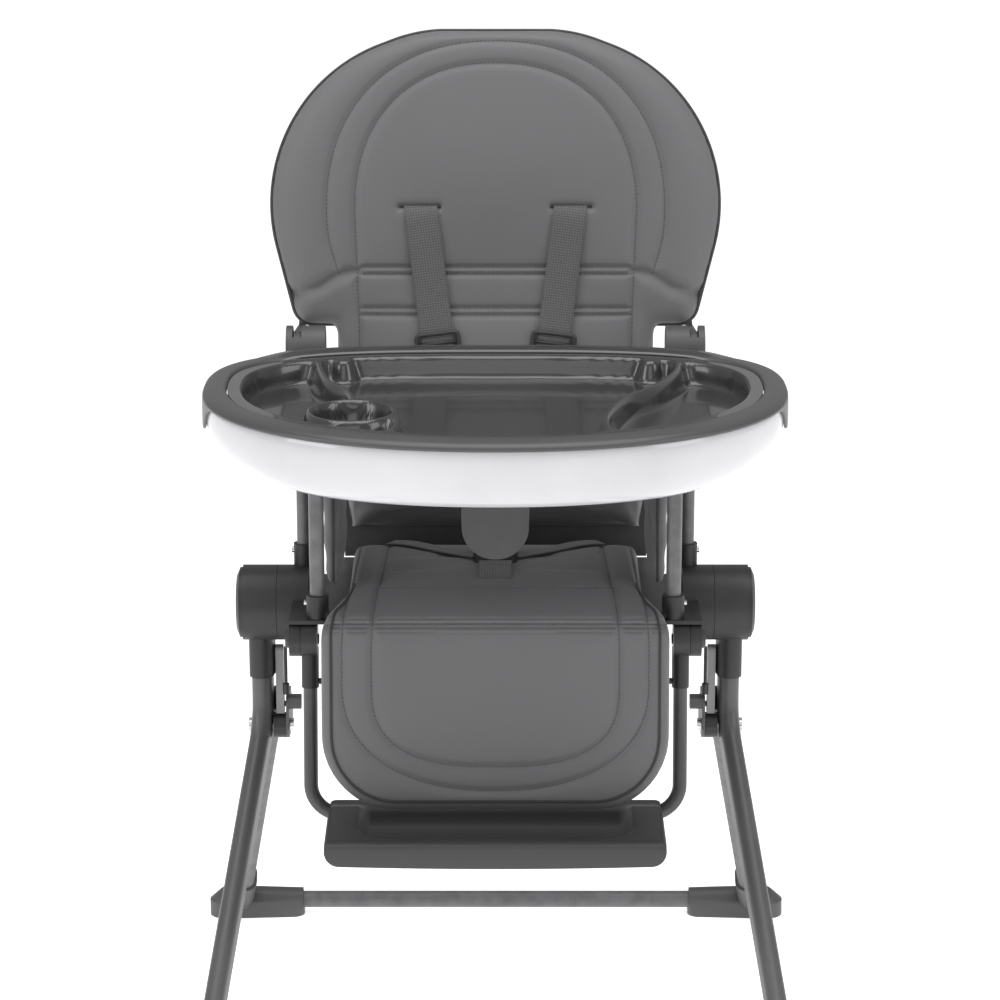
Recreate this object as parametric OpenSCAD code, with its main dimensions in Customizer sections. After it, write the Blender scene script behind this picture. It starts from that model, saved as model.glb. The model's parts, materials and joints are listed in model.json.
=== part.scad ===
// Folding baby high chair. The front faces -Y, up is +Z, and the floor is z = 0.
// Shapes are drawn for the +X side and mirrored for the left.

/* [Frame] */
// Height of the hub axis above the floor
hub_z = 493; // [470:1:520]
// Radius of the round hubs
hub_r = 38; // [34:1:42]
// Distance from the middle to a hub's outer face
hub_out = 260; // [250:1:280]
// Depth from the hub axis to the front corner of the base
base_front = 368; // [320:1:400]
// Depth from the hub axis to the rear corner of the base
base_rear = 372; // [330:1:390]
// Height of the bolt that the rear leg turns on
pivot_z = 362; // [355:1:370]
// Distance from the middle to a front foot
front_foot_x = 297; // [280:1:310]
// Distance from the middle to a rear foot
rear_foot_x = 291; // [275:1:305]
// Diameter of the two floor crossbars
crossbar_d = 19; // [16:1:22]

/* [Seat] */
// Height of the top of the seat pad
seat_z = 540; // [538:1:560]
// Width of the seat pad
seat_w = 322; // [300:1:324]
// Lean of the back from upright, in degrees
back_lean = 9; // [6:1:12]
// Height of the back above the seat, along the back
back_h = 515; // [490:1:560]
// Width of the back pad at its widest
back_w = 456; // [430:2:480]
// Thickness of the back pad
back_t = 38; // [30:1:40]
// Height of the arm hinges that the back reclines on
arm_z = 748; // [744:1:752]

/* [Tray] */
// Width of the tray
tray_w = 550; // [520:2:580]
// Front edge of the tray, ahead of the hub axis
tray_front = 390; // [360:1:410]
// Height of the top of the tray rim
tray_z = 764; // [764:1:770]
// Diameter of the cup holder
cup_d = 72; // [60:1:76]

/* [Calf rest] */
// Length of the calf pad
calf_len = 168; // [150:1:175]
// Width of the calf pad
calf_w = 346; // [320:2:348]
// Depth of the footrest from front to back
foot_deep = 138; // [110:1:150]

/* [Hidden] */

$fn = 48;
e = 0.01;
run = 0.05;          // radial clearance of a turning fit
gap = 0.4;           // clearance between moving faces
wall = 1.5;          // wall of the steel tubes

// front leg tube
leg_x = 236;
leg_wide = 20;
leg_deep = 30;
leg_top = 450;
leg_knee = pivot_z + 3;
leg_end = 17;
leg_run = norm([front_foot_x - leg_x, base_front]);
leg_bend = atan2(leg_run, leg_knee - leg_end);
leg_slant = norm([leg_run, leg_knee - leg_end]);
leg_turn = atan2(-base_front, front_foot_x - leg_x);
knee_r = 60;

// rear leg tube, which passes behind the pivot bolt
rear_wide = 18;
rear_deep = 28;
rear_off = 31;
rear_x = 225;
rear_reach = norm([base_rear, pivot_z - leg_end]);
rear_rise = atan2(pivot_z - leg_end, base_rear) + asin(rear_off / rear_reach);
rear_len = sqrt(rear_reach * rear_reach - rear_off * rear_off);
rear_splay = atan2(rear_foot_x - rear_x, rear_len);

// hubs and pivots
hub_seam = 219;
hub_in = 187;
cap_r = hub_r - 2.5;
cap_in = 4;
axle_r = 8;
bolt_r = 4;
plate_in = 209.5;
plate_out = 212.5;
rod_x = 212;
rod_y = -10;

// calf rest hinge
calf_y = -115;
calf_z = hub_z - 1;
calf_tilt = 8;
knuckle_r = 17;
pin_r = 5;
block_in = 190;
block_out = 201;
calf_x = 181;
calf_tube_r = 7;
calf_bend = 30;

// arms
arm_y = 45;
arm_low = 705;
arm_top = 733;
dome_r = 20;
slot_x = 198;
rear_tube = [193, 8, 6.6];
front_tube = [173.5, -112, 7.4];

// cover and back
pan_top = 513;
back_y = 60;
shell_t = 5.5;
pivot_up = (arm_z - seat_z) / cos(back_lean);

// tray
tray_back = -20;
tray_mid = -175;
well_floor = tray_z - 23.5;
floor_top = well_floor - 3.5;
skirt_low = 697;
post_y = -170;

module on_side(s) {
  if (s < 0) mirror([1, 0, 0]) children();
  else children();
}

module both_sides() {
  children();
  mirror([1, 0, 0]) children();
}

// A cylinder along X between two distances from the middle
module rod_x(from, to, r, y = 0, z = 0) {
  translate([from, y, z]) rotate([0, 90, 0]) cylinder(h = to - from, r = r);
}

module slot_2d(wide, deep) {
  square([deep - wide, wide], center = true);
  for (s = [-1, 1]) translate([s * (deep - wide) / 2, 0]) circle(d = wide);
}

module tube_2d(wide, deep, swell = 0) {
  difference() {
    slot_2d(wide + swell, deep + swell);
    slot_2d(wide - 2 * wall - swell, deep - 2 * wall - swell);
  }
}

module rounded_2d(w, h, r) {
  square([w - 2 * r, h], center = true);
  square([w, h - 2 * r], center = true);
  for (x = [-1, 1], y = [-1, 1]) translate([x * (w / 2 - r), y * (h / 2 - r)]) circle(r = r);
}

// ---------- front frame ----------

// Frame with its Z axis up the slanted part of the leg, from the foot corner
module leg_axis() {
  translate([leg_x, 0, leg_knee]) rotate([0, 0, leg_turn]) rotate([0, -leg_bend, 0])
    translate([0, 0, -leg_slant]) children();
}

// The knee is a hair thicker than the straights, which run 0.5 mm into it
module front_leg(s) {
  tangent = knee_r * tan(leg_bend / 2);
  color("#4a4a4d") on_side(s) difference() {
    union() {
      translate([leg_x, 0, leg_knee]) rotate([0, 0, leg_turn]) {
        translate([0, 0, tangent - 0.5]) linear_extrude(leg_top - leg_knee - tangent + 0.5)
          tube_2d(leg_wide, leg_deep);
        translate([knee_r, 0, tangent]) rotate([90, 0, 0])
          rotate_extrude(angle = leg_bend, start = 180, $fn = 96) translate([knee_r, 0])
            tube_2d(leg_wide, leg_deep, 0.1);
      }
      leg_axis() translate([0, 0, 36]) linear_extrude(leg_slant - 36 - tangent + 0.5)
        tube_2d(leg_wide, leg_deep);
    }
    rod_x(200, 260, bolt_r + run, 0, pivot_z);
  }
}

module front_crossbar() {
  color("#4a4a4d") difference() {
    rod_x(-front_foot_x + 40, front_foot_x - 40, crossbar_d / 2, -base_front, leg_end);
    rod_x(-front_foot_x, front_foot_x, crossbar_d / 2 - wall, -base_front, leg_end);
  }
}

// Corner shoe: a toe on the floor, a sleeve up the leg and a sleeve along the crossbar
module shoe_body(x, y, out) {
  hull() {
    translate([x + out, y, 0]) cylinder(h = 18, r = 18, $fn = 32);
    translate([x + out - 4, y, 18]) sphere(r = 15, $fn = 32);
    translate([x - 58, y, 0]) cylinder(h = leg_end, r = 13.5, $fn = 32);
    rod_x(x - 70, x - 60, 13.5, y, leg_end, $fn = 32);
  }
}

module front_foot(s) {
  color("#2f2f31") on_side(s) difference() {
    union() {
      shoe_body(front_foot_x, -base_front, 9);
      leg_axis() translate([0, 0, 2]) linear_extrude(70) slot_2d(leg_wide + 7, leg_deep + 7);
    }
    leg_axis() translate([0, 0, 36]) linear_extrude(100) slot_2d(leg_wide, leg_deep);
    rod_x(0, front_foot_x - 40, crossbar_d / 2, -base_front, leg_end);
    translate([-500, -700, -60]) cube([1000, 1400, 60]);
  }
}

module hub_outer(s) {
  color("#3a3a3c") on_side(s) difference() {
    union() {
      rod_x(hub_seam + gap / 2, hub_out - 6, hub_r, 0, hub_z);
      translate([leg_x, 0, 417]) linear_extrude(hub_z - 417 - 20)
        rotate(leg_turn) slot_2d(leg_wide + 4.5, leg_deep + 5);
    }
    rod_x(hub_out - 10 - cap_in - gap, hub_out, cap_r + gap, 0, hub_z);
    rod_x(hub_seam - 1, hub_out - 22, axle_r, 0, hub_z);
    translate([leg_x, 0, 400]) linear_extrude(leg_top - 400) rotate(leg_turn)
      slot_2d(leg_wide, leg_deep);
  }
}

module hub_axles() {
  color("#c4c4c6") both_sides() rod_x(hub_in + 3, hub_out - 22, axle_r, 0, hub_z);
}

module leg_bolts() {
  color("#b8b8ba") both_sides() {
    rod_x(plate_in - 1, leg_x + leg_wide / 2 + 3, bolt_r, 0, pivot_z);
    rod_x(leg_x + leg_wide / 2 + 1.6, leg_x + leg_wide / 2 + 5, 7.5, 0, pivot_z);
    rod_x(plate_in - 4.5, plate_in - gap, 7, 0, pivot_z);
  }
}

module leg_spacers() {
  color("#29292b") both_sides() difference() {
    rod_x(plate_out + gap, leg_x - leg_wide / 2 - 0.4, 13, 0, pivot_z);
    rod_x(plate_out, leg_x, bolt_r, 0, pivot_z);
  }
}

// Flat rail beside the upper leg, from the spacer to a round end below the hub
module latch_rails() {
  color("#8c8c90") both_sides() translate([leg_x - leg_wide / 2 - 11.4, 0, 0]) difference() {
    rotate([90, 0, 90]) linear_extrude(8) {
      translate([-5.5, pivot_z + 14]) square([10.5, 67]);
      translate([-0.25, pivot_z + 81]) circle(r = 5.25);
    }
    rod_x(-1, 2, 2, -0.25, pivot_z + 72);
  }
}

// ---------- rear frame ----------

module rear_axis() {
  translate([rear_foot_x, base_rear, leg_end]) rotate([90 - rear_rise, 0, 0])
    rotate([0, -rear_splay, 0]) children();
}

module rear_leg(s) {
  color("#5c5c60") on_side(s) rear_axis() translate([0, 0, 36])
    linear_extrude(rear_len + 4 - 36) rotate(90) tube_2d(rear_wide, rear_deep);
}

module rear_crossbar() {
  color("#5c5c60") difference() {
    rod_x(-rear_foot_x + 40, rear_foot_x - 40, crossbar_d / 2, base_rear, leg_end);
    rod_x(-rear_foot_x, rear_foot_x, crossbar_d / 2 - wall, base_rear, leg_end);
  }
}

module rear_foot(s) {
  color("#2f2f31") on_side(s) difference() {
    union() {
      shoe_body(rear_foot_x, base_rear, 19);
      rear_axis() linear_extrude(62) rotate(90) slot_2d(rear_wide + 7, rear_deep + 7);
    }
    rear_axis() translate([0, 0, 36]) linear_extrude(200) rotate(90) slot_2d(rear_wide, rear_deep);
    rod_x(0, rear_foot_x - 40, crossbar_d / 2, base_rear, leg_end);
    translate([-500, -700, -60]) cube([1000, 1400, 60]);
  }
}

// Plate riveted inside the rear leg's top, with the pivot hole and a finger tab
module leg_brackets() {
  color("#77777b") both_sides() {
    difference() {
      translate([plate_in, 0, pivot_z]) rotate([90, 0, 90]) linear_extrude(plate_out - plate_in)
        hull() {
          circle(r = 13);
          translate([-4, 26]) circle(r = 8, $fn = 32);
          translate([24, 24]) circle(r = 9, $fn = 32);
          translate([48, -8]) circle(r = 9, $fn = 32);
        }
      rod_x(plate_in - 1, plate_out + 1, bolt_r + run, 0, pivot_z);
    }
    translate([197, 0, pivot_z]) rotate([90, 0, 90]) linear_extrude(plate_in - 197)
      translate([-4, 26.5]) rounded_2d(15, 14, 5);
    for (d = [34, 8]) rear_axis() translate([-rear_wide / 2, 0, rear_len - d]) rotate([0, -90, 0])
      cylinder(h = 10.5, r = 3);
  }
}

// ---------- seat frame ----------

module hub_inner(s) {
  color("#434346") on_side(s) difference() {
    rod_x(hub_in, hub_seam - gap / 2, hub_r, 0, hub_z);
    rod_x(hub_in - 1, hub_seam + 1, axle_r + run, 0, hub_z);
  }
}

module seat_rails() {
  color("#3f3f42") both_sides() difference() {
    translate([188, calf_y + 8, hub_z - 13]) cube([14, -calf_y - 20, 26]);
    rod_x(100, 300, hub_r, 0, hub_z);
    rod_x(100, 300, knuckle_r, calf_y, calf_z);
  }
}

module hinge_blocks() {
  color("#3a3a3c") both_sides() difference() {
    rod_x(block_in, block_out, knuckle_r, calf_y, calf_z);
    rod_x(block_out - 6, block_out + 1, 9 + gap, calf_y, calf_z);
    rod_x(block_in - 1, block_out, pin_r, calf_y, calf_z);
  }
  color("#c4c4c6") both_sides() rod_x(calf_x - 9, block_out - 6.5, pin_r, calf_y, calf_z);
}

module arm_tubes() {
  color("#6b6b70") both_sides() for (t = [rear_tube, front_tube]) {
    low = t == rear_tube ? hub_z + hub_r + 1 : calf_z + knuckle_r + 5;
    translate([t[0], t[1], low]) difference() {
      cylinder(h = arm_low - low, r = t[2]);
      translate([0, 0, -1]) cylinder(h = arm_low, r = t[2] - wall);
      translate([0, 0, 14]) rotate([0, 90, 0]) cylinder(h = 20, r = 3.1);
    }
  }
}

module tube_collars() {
  color("#39393b") both_sides() {
    translate([rear_tube[0], rear_tube[1], 0]) difference() {
      translate([0, 0, hub_z + 30]) cylinder(h = 30, r = 10);
      translate([0, 0, hub_z + hub_r + 1]) cylinder(h = 50, r = rear_tube[2]);
      translate([0, 0, hub_z + hub_r + 15]) rotate([0, 90, 0]) cylinder(h = 20, r = 3.1);
      translate([-rear_tube[0], -rear_tube[1], 0]) rod_x(100, 300, hub_r, 0, hub_z);
    }
    difference() {
      union() {
        translate([front_tube[0], front_tube[1], calf_z + knuckle_r + gap]) cylinder(h = 27, r = 11);
        translate([164, -124, calf_z + knuckle_r + gap]) cube([37, 24, 4]);
      }
      translate([front_tube[0], front_tube[1], calf_z + knuckle_r + 5]) {
        cylinder(h = 50, r = front_tube[2]);
        translate([0, 0, 14]) rotate([0, 90, 0]) cylinder(h = 20, r = 3.1);
      }
    }
  }
}

// Arm moulding with two cheeks at the rear that hold the back hinge
module armrest(s) {
  color("#3c3c3e") on_side(s) difference() {
    union() {
      translate([187, -41, arm_low]) linear_extrude(arm_top - arm_low) rounded_2d(38, 174, 15);
      rod_x(170, 209, dome_r, arm_y, arm_z);
      translate([170, arm_y - 18, arm_top - 10]) cube([39, 30, 15]);
    }
    translate([slot_x - 4.5, arm_y - 16, arm_top - 16]) cube([9, 80, 80]);
  }
  color("#c4c4c6") on_side(s) rod_x(slot_x - 4.5 - e, slot_x + 4.5 + e, pin_r, arm_y, arm_z);
}

module seat_pan() {
  color("#3a3a3c") {
    translate([-168, -100, pan_top - 8]) cube([336, 190, 8]);
    both_sides() translate([162, -32, hub_z - 12]) cube([hub_in - 162, 64, pan_top - hub_z + 12]);
    both_sides() translate([140, -90, pan_top - 26]) cube([8, 170, 19]);
  }
}

module on_back() {
  translate([0, back_y, seat_z]) rotate([-back_lean, 0, 0]) children();
}

module back_panel() {
  color("#3a3a3c") on_back() translate([-155, 27.5, -20]) cube([310, 5, 162]);
}

// Cushion block, rounded in plan and along its two long edges
module soft_box(w, d, h, r) {
  intersection() {
    linear_extrude(h) rounded_2d(w, d, min(12, min(w, d) / 2 - 1));
    translate([0, d, h / 2]) rotate([90, 0, 0]) linear_extrude(2 * d)
      rounded_2d(w + 0.5, h, min(r, h / 2 - 1));
  }
}

module seat_pad() {
  color("#565659") translate([0, -24, pan_top + 0.3])
    soft_box(seat_w, 160, seat_z - pan_top - 0.3, 11);
}

module lower_back_pad() {
  color("#565659") on_back() translate([0, 14, 4]) soft_box(300, 26, 138, 10);
}

module side_wing(s) {
  color("#505053") on_side(s) translate([155, -13, seat_z + 0.5]) soft_box(12, 130, 118, 5);
}

// Lap webbing across the pad and crotch webbing up to the buckle
module seat_straps() {
  color("#4d4d50") {
    translate([-17, -96, seat_z + 0.5]) cube([34, 62, 2.5]);
    both_sides() translate([22.5, -30, seat_z + 0.5]) cube([112, 25, 2.5]);
  }
}

module buckle() {
  color("#2b2b2d") translate([0, -17, seat_z + 0.5]) difference() {
    linear_extrude(14) rounded_2d(44, 32, 7);
    translate([0, 0, 8]) cylinder(h = 10, r = 8 + gap);
  }
}

module buckle_button() {
  color("#59595c") translate([0, -17, seat_z + 0.5 + 10.5]) cylinder(h = 5, r = 8);
}

// ---------- reclining back ----------

// Outline of the back in its own plane, a little smaller by inset
module back_2d(inset) {
  big = 172;
  intersection() {
    hull() for (s = [-1, 1]) {
      translate([s * (back_w / 2 - big), back_h - big]) circle(r = big - inset, $fn = 72);
      translate([s * (back_w / 2 - 42), pivot_up + 30]) circle(r = 20 - inset, $fn = 32);
    }
    translate([-back_w, pivot_up + 10 + inset]) square([2 * back_w, back_h]);
  }
}

module back_pad() {
  color("#565659") on_back() translate([0, back_t, 0]) rotate([90, 0, 0]) linear_extrude(back_t) {
    back_2d(0);
    translate([-150, pivot_up - 8]) square([300, 60]);
  }
}

module back_shell() {
  color("#37373a") on_back() {
    translate([0, back_t + 0.3 + shell_t, 0]) rotate([90, 0, 0]) linear_extrude(shell_t) {
      back_2d(5);
      translate([-146, pivot_up + 6]) square([292, 50]);
    }
    for (s = [-1, 1]) translate([s * 62 - 4, back_t + 5, 405]) cube([8, 20, 60]);
  }
}

// Hinge plates from the arm hinges back under the pad and up behind the shell
module back_arms() {
  color("#48484b") both_sides() difference() {
    translate([slot_x - 3.5, 0, arm_z]) rotate([90, 0, 90]) linear_extrude(7) {
      hull() {
        translate([arm_y, 0]) circle(r = 14);
        translate([134, -7]) circle(r = 8, $fn = 32);
      }
      hull() {
        translate([134, -7]) circle(r = 8, $fn = 32);
        translate([145.5, 4]) circle(r = 7, $fn = 32);
      }
      hull() {
        translate([145.5, 4]) circle(r = 7, $fn = 32);
        translate([158.7, 88]) circle(r = 7, $fn = 32);
      }
    }
    rod_x(150, 250, pin_r + run, arm_y, arm_z);
  }
}

module recline_handle() {
  color("#2b2b2d") on_back() translate([0, back_t + 15, 431])
    rotate([90, 0, 0]) linear_extrude(12, center = true) rounded_2d(114, 24, 8);
}

module strap(x_top, x_low, z_top, z_low, y) {
  tilt = atan2(x_top - x_low, z_top - z_low);
  translate([x_low, y, z_low]) rotate([0, tilt, 0])
    translate([-16.5, 0, 0]) cube([33, 2.5, (z_top - z_low) / cos(tilt)]);
}

module shoulder_straps() {
  color("#4d4d50") on_back() both_sides() strap(74, 60, 346, 226, -3.4);
}

module strap_adjusters() {
  color("#2b2b2d") on_back() both_sides() translate([57, -9.2, 212]) difference() {
    translate([-21, 0, 0]) cube([42, 5.6, 17]);
    translate([-17, -1, 3.5]) cube([34, 8, 3.5]);
    translate([-17, -1, 10]) cube([34, 8, 3.5]);
  }
}

// ---------- calf rest ----------

module on_calf() {
  translate([0, calf_y, calf_z]) rotate([-calf_tilt, 0, 0]) children();
}

module calf_path(r, from) {
  drop = calf_len + 7;
  translate([calf_x, 0, -drop + calf_bend]) cylinder(h = drop - calf_bend - from, r = r);
  translate([calf_x - calf_bend, 0, -drop + calf_bend]) rotate([90, 0, 0])
    rotate_extrude(angle = -90) translate([calf_bend, 0]) circle(r = r);
  rod_x(60, calf_x - calf_bend, r, 0, -drop);
}

module calf_tube(s) {
  color("#707074") on_side(s) on_calf() difference() {
    calf_path(calf_tube_r, 20);
    calf_path(calf_tube_r - wall, 10);
  }
}

module calf_sleeves() {
  color("#3a3a3c") on_calf() both_sides() difference() {
    union() {
      rod_x(calf_x - 7.5, block_in - gap, knuckle_r, 0, 0);
      translate([calf_x, 0, -48]) cylinder(h = 40, r = 8.5);
      rod_x(calf_x - 11, calf_x, 3, 0, -42);
    }
    rod_x(100, 300, pin_r + run, 0, 0);
    translate([calf_x, 0, -60]) cylinder(h = 40, r = calf_tube_r);
  }
}

module calf_board() {
  color("#3a3a3c") on_calf() difference() {
    translate([-152, -14, -142]) cube([304, 5, 136]);
    both_sides() translate([calf_x, 0, -60]) cylinder(h = 80, r = 12);
  }
}

module calf_pad() {
  color("#565659") on_calf() hull() for (s = [-1, 1], y = [-36, -25]) {
    translate([s * (calf_w / 2 - 14), y, -15.5]) sphere(r = 10, $fn = 32);
    translate([s * (calf_w / 2 - 60), y, -calf_len + 67]) rotate([90, 0, 0])
      rotate_extrude($fn = 48) translate([46, 0]) circle(r = 10, $fn = 16);
  }
}

// Foot platform clamped round the lower run of the calf tubes
module footrest() {
  drop = calf_len - 8;
  tube_y = calf_y - drop * sin(calf_tilt);
  tube_z = calf_z - drop * cos(calf_tilt);
  front = tube_y + 14 - foot_deep;
  color("#4b4b4e") difference() {
    translate([0, front, tube_z - 24]) hull() {
      for (s = [-1, 1]) {
        translate([s * (163 - 20), foot_deep, 20]) rotate([90, 0, 0]) cylinder(h = foot_deep, r = 20, $fn = 32);
        translate([s * 153, 8, 22]) cylinder(h = 6, r = 8, $fn = 32);
        translate([s * 156, foot_deep - 8, 22]) cylinder(h = 6, r = 7, $fn = 32);
      }
    }
    translate([-123, front + 10, tube_z - 6.5]) cube([246, foot_deep, 60]);
    translate([-400, front - 1, tube_z + 4]) cube([800, foot_deep + 2, 60]);
    on_calf() both_sides() calf_path(calf_tube_r, 20);
  }
}

module calf_button(s) {
  color("#5a5a5d") on_side(s) rod_x(block_out - 3, block_out + 4, 9, calf_y, calf_z);
}

// ---------- tray ----------

function superpoint(t, a, b, n) =
  [a * sign(cos(t)) * pow(abs(cos(t)), 2 / n), b * sign(sin(t)) * pow(abs(sin(t)), 2 / n)];

// Plan of the tray: a deep round front and a squarer back, smaller by inset
module tray_2d(inset) {
  polygon([for (t = [0:5:355])
    let (front = sin(t) < 0)
    superpoint(t, tray_w / 2 - inset, (front ? tray_front + tray_mid : tray_back - tray_mid) - inset,
               front ? 2.15 : 3.0) + [0, tray_mid]]);
}

module tray_shell() {
  color("#f4f4f4") {
    difference() {
      hull() {
        translate([0, 0, tray_z - 14]) linear_extrude(2) tray_2d(5);
        translate([0, 0, skirt_low + 12]) linear_extrude(2) tray_2d(12);
        translate([0, 0, skirt_low]) linear_extrude(2) tray_2d(26);
      }
      hull() {
        translate([0, 0, tray_z - 11]) linear_extrude(1) tray_2d(8.5);
        translate([0, 0, skirt_low + 14]) linear_extrude(1) tray_2d(15.5);
        translate([0, 0, skirt_low - 2]) linear_extrude(1) tray_2d(30);
      }
      translate([-tray_w, -118, skirt_low - 10]) cube([2 * tray_w, 400, floor_top - skirt_low + 40]);
    }
    translate([0, 0, floor_top - 2.5]) linear_extrude(2.5) tray_2d(10);
    both_sides() for (x = [161, 210]) translate([x, -215, arm_low + 8])
      cube([4.5, 150, floor_top - 2.5 - arm_low - 8 + e]);
  }
}

module tray_rim() {
  color("#56565a") {
    translate([0, 0, tray_z - 12 + e]) linear_extrude(12 - e) difference() {
      tray_2d(0);
      tray_2d(22);
    }
    intersection() {
      translate([0, 0, 718]) linear_extrude(tray_z - 12 - 718 + 0.5) difference() {
        tray_2d(0);
        tray_2d(4.2);
      }
      both_sides() translate([200, -235, 700]) cube([100, 150, 60]);
    }
  }
}

module pocket(inset, deep) {
  translate([0, 0, well_floor]) linear_extrude(deep) children();
}

// Lift-out insert: one wide well, two side pockets and the cup holder
module tray_insert() {
  color("#3b3b3e") difference() {
    translate([0, 0, floor_top + gap]) linear_extrude(tray_z - 3 - floor_top) tray_2d(22 + gap);
    pocket(0, 40) intersection() {
      tray_2d(36);
      difference() {
        translate([-142, -400]) square([262, 380]);
        translate([-118, -300]) circle(r = cup_d / 2 + 12);
        translate([200, -190]) circle(r = 105);
        translate([-190, -120]) circle(r = 72);
      }
    }
    pocket(0, 40) intersection() {
      tray_2d(36);
      translate([-196, -120]) circle(r = 62);
    }
    pocket(0, 40) intersection() {
      tray_2d(36);
      translate([200, -190]) circle(r = 96);
    }
    translate([-118, -300, well_floor]) cylinder(h = 40, r = cup_d / 2);
  }
}

module crotch_post() {
  color("#4a4a4d") hull() {
    translate([0, post_y, floor_top - 2.6 - 30]) linear_extrude(30) rounded_2d(68, 20, 6);
    translate([0, post_y, 592 + 32]) rotate([90, 0, 0]) cylinder(h = 16, r = 32, center = true);
  }
}

module tray_clip(s) {
  color("#e8e8e8") on_side(s) translate([225.5, -170, 706]) linear_extrude(14) rounded_2d(20, 44, 5);
}

// ---------- buttons and latches ----------

module fold_button(s) {
  color("#333335") on_side(s) hull() {
    rod_x(hub_out - 10, hub_out - 3, cap_r, 0, hub_z, $fn = 64);
    rod_x(hub_out - 10, hub_out, cap_r - 7, 0, hub_z, $fn = 64);
  }
}

module fold_rod(s) {
  color("#242426") on_side(s) {
    translate([rod_x, rod_y, pivot_z + 44]) cylinder(h = hub_z - hub_r - pivot_z - 44 - 6, r = 1.7);
    translate([rod_x, rod_y, pivot_z + 36.8]) cylinder(h = 11, r = 3.4);
  }
}

module snap_buttons(s) {
  color("#d8d8da") on_side(s) {
    translate([rear_tube[0] + 5.4, rear_tube[1], hub_z + hub_r + 15]) rotate([0, 90, 0])
      cylinder(h = 6.6, r = 3);
    translate([front_tube[0] + 6.2, front_tube[1], calf_z + knuckle_r + 19]) rotate([0, 90, 0])
      cylinder(h = 6.8, r = 3);
  }
}

front_leg(-1);  // front_leg_left
front_leg(1);  // front_leg_right
front_crossbar();
front_foot(-1);  // front_foot_left
front_foot(1);  // front_foot_right
hub_outer(-1);  // hub_outer_left
hub_outer(1);  // hub_outer_right
hub_axles();
leg_bolts();
leg_spacers();
latch_rails();
rear_leg(-1);  // rear_leg_left
rear_leg(1);  // rear_leg_right
rear_crossbar();
rear_foot(-1);  // rear_foot_left
rear_foot(1);  // rear_foot_right
leg_brackets();
hub_inner(-1);  // hub_inner_left
hub_inner(1);  // hub_inner_right
seat_rails();
hinge_blocks();
arm_tubes();
tube_collars();
armrest(-1);  // armrest_left
armrest(1);  // armrest_right
seat_pan();
back_panel();
seat_pad();
lower_back_pad();
side_wing(-1);  // side_wing_left
side_wing(1);  // side_wing_right
seat_straps();
buckle();
back_shell();
back_arms();
back_pad();
shoulder_straps();
strap_adjusters();
recline_handle();
calf_tube(-1);  // calf_tube_left
calf_tube(1);  // calf_tube_right
calf_sleeves();
calf_board();
calf_pad();
footrest();
tray_shell();
tray_rim();
crotch_post();
tray_clip(-1);  // tray_clip_left
tray_clip(1);  // tray_clip_right
tray_insert();
calf_button(-1);  // calf_button_left
calf_button(1);  // calf_button_right
fold_button(-1);  // fold_button_left
fold_button(1);  // fold_button_right
fold_rod(-1);  // fold_rod_left
fold_rod(1);  // fold_rod_right
snap_buttons(-1);  // snap_buttons_left
snap_buttons(1);  // snap_buttons_right
buckle_button();
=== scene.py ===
import json
import math
from contextlib import contextmanager

import bmesh
import bpy
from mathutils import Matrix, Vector
from mathutils.bvhtree import BVHTree


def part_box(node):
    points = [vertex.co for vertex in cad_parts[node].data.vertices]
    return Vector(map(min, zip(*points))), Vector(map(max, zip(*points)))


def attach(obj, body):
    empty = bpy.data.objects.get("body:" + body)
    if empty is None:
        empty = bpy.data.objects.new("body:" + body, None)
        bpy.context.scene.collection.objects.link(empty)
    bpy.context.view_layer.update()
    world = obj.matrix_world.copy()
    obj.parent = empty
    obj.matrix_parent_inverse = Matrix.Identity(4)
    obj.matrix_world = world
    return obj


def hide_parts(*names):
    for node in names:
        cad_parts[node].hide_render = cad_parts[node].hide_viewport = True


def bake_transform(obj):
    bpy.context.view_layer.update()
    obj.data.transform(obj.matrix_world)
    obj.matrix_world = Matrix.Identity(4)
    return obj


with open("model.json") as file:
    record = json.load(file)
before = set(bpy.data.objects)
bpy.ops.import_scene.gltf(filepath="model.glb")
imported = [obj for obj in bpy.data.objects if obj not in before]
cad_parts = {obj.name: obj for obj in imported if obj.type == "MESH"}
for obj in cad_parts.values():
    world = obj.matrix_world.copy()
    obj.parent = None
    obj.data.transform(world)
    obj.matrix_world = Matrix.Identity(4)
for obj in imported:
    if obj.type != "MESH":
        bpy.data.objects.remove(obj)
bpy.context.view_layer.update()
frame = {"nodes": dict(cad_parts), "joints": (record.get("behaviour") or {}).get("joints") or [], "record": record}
nodes = frame["nodes"]
joints = {j["name"]: j for j in frame["joints"]}

# ---------- places worked out from the frame ----------

X, Y, Z = Vector((1, 0, 0)), Vector((0, 1, 0)), Vector((0, 0, 1))
back_low, back_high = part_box("back_pad")
BACK_UP = Vector(joints["handle_pull"]["axis"]).normalized()
BACK_OUT = X.cross(BACK_UP)                      # from the back towards the child
BACK_THICK = 0.038
BACK_FOOT = Vector((0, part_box("lower_back_pad")[0].y - 0.0016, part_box("seat_pad")[1].z))
BACK_TALL = (back_high.z - BACK_FOOT.z) / BACK_UP.z
BACK_HALF = (back_high.x - back_low.x) / 2
HINGE = Vector(joints["recline"]["pos_m"])
CALF_HINGE = Vector(joints["calf_swing"]["pos_m"])
seat_low, seat_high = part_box("seat_pad")
CALF_TILT = math.radians(8)
CALF_DOWN = Vector((0, -math.sin(CALF_TILT), -math.cos(CALF_TILT)))
CALF_OUT = Vector((0, -math.cos(CALF_TILT), math.sin(CALF_TILT)))
rim_low, rim_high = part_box("tray_rim")
insert_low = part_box("tray_insert")[0]
TRAY_HALF = (rim_high.x - rim_low.x) / 2
TRAY_MID = -0.175
TRAY_TOP = rim_high.z


def on_back(x, up, out=0.0):
    """A point on the back, from the foot of its front face."""
    return BACK_FOOT + X * x + BACK_UP * up + BACK_OUT * out


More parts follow.
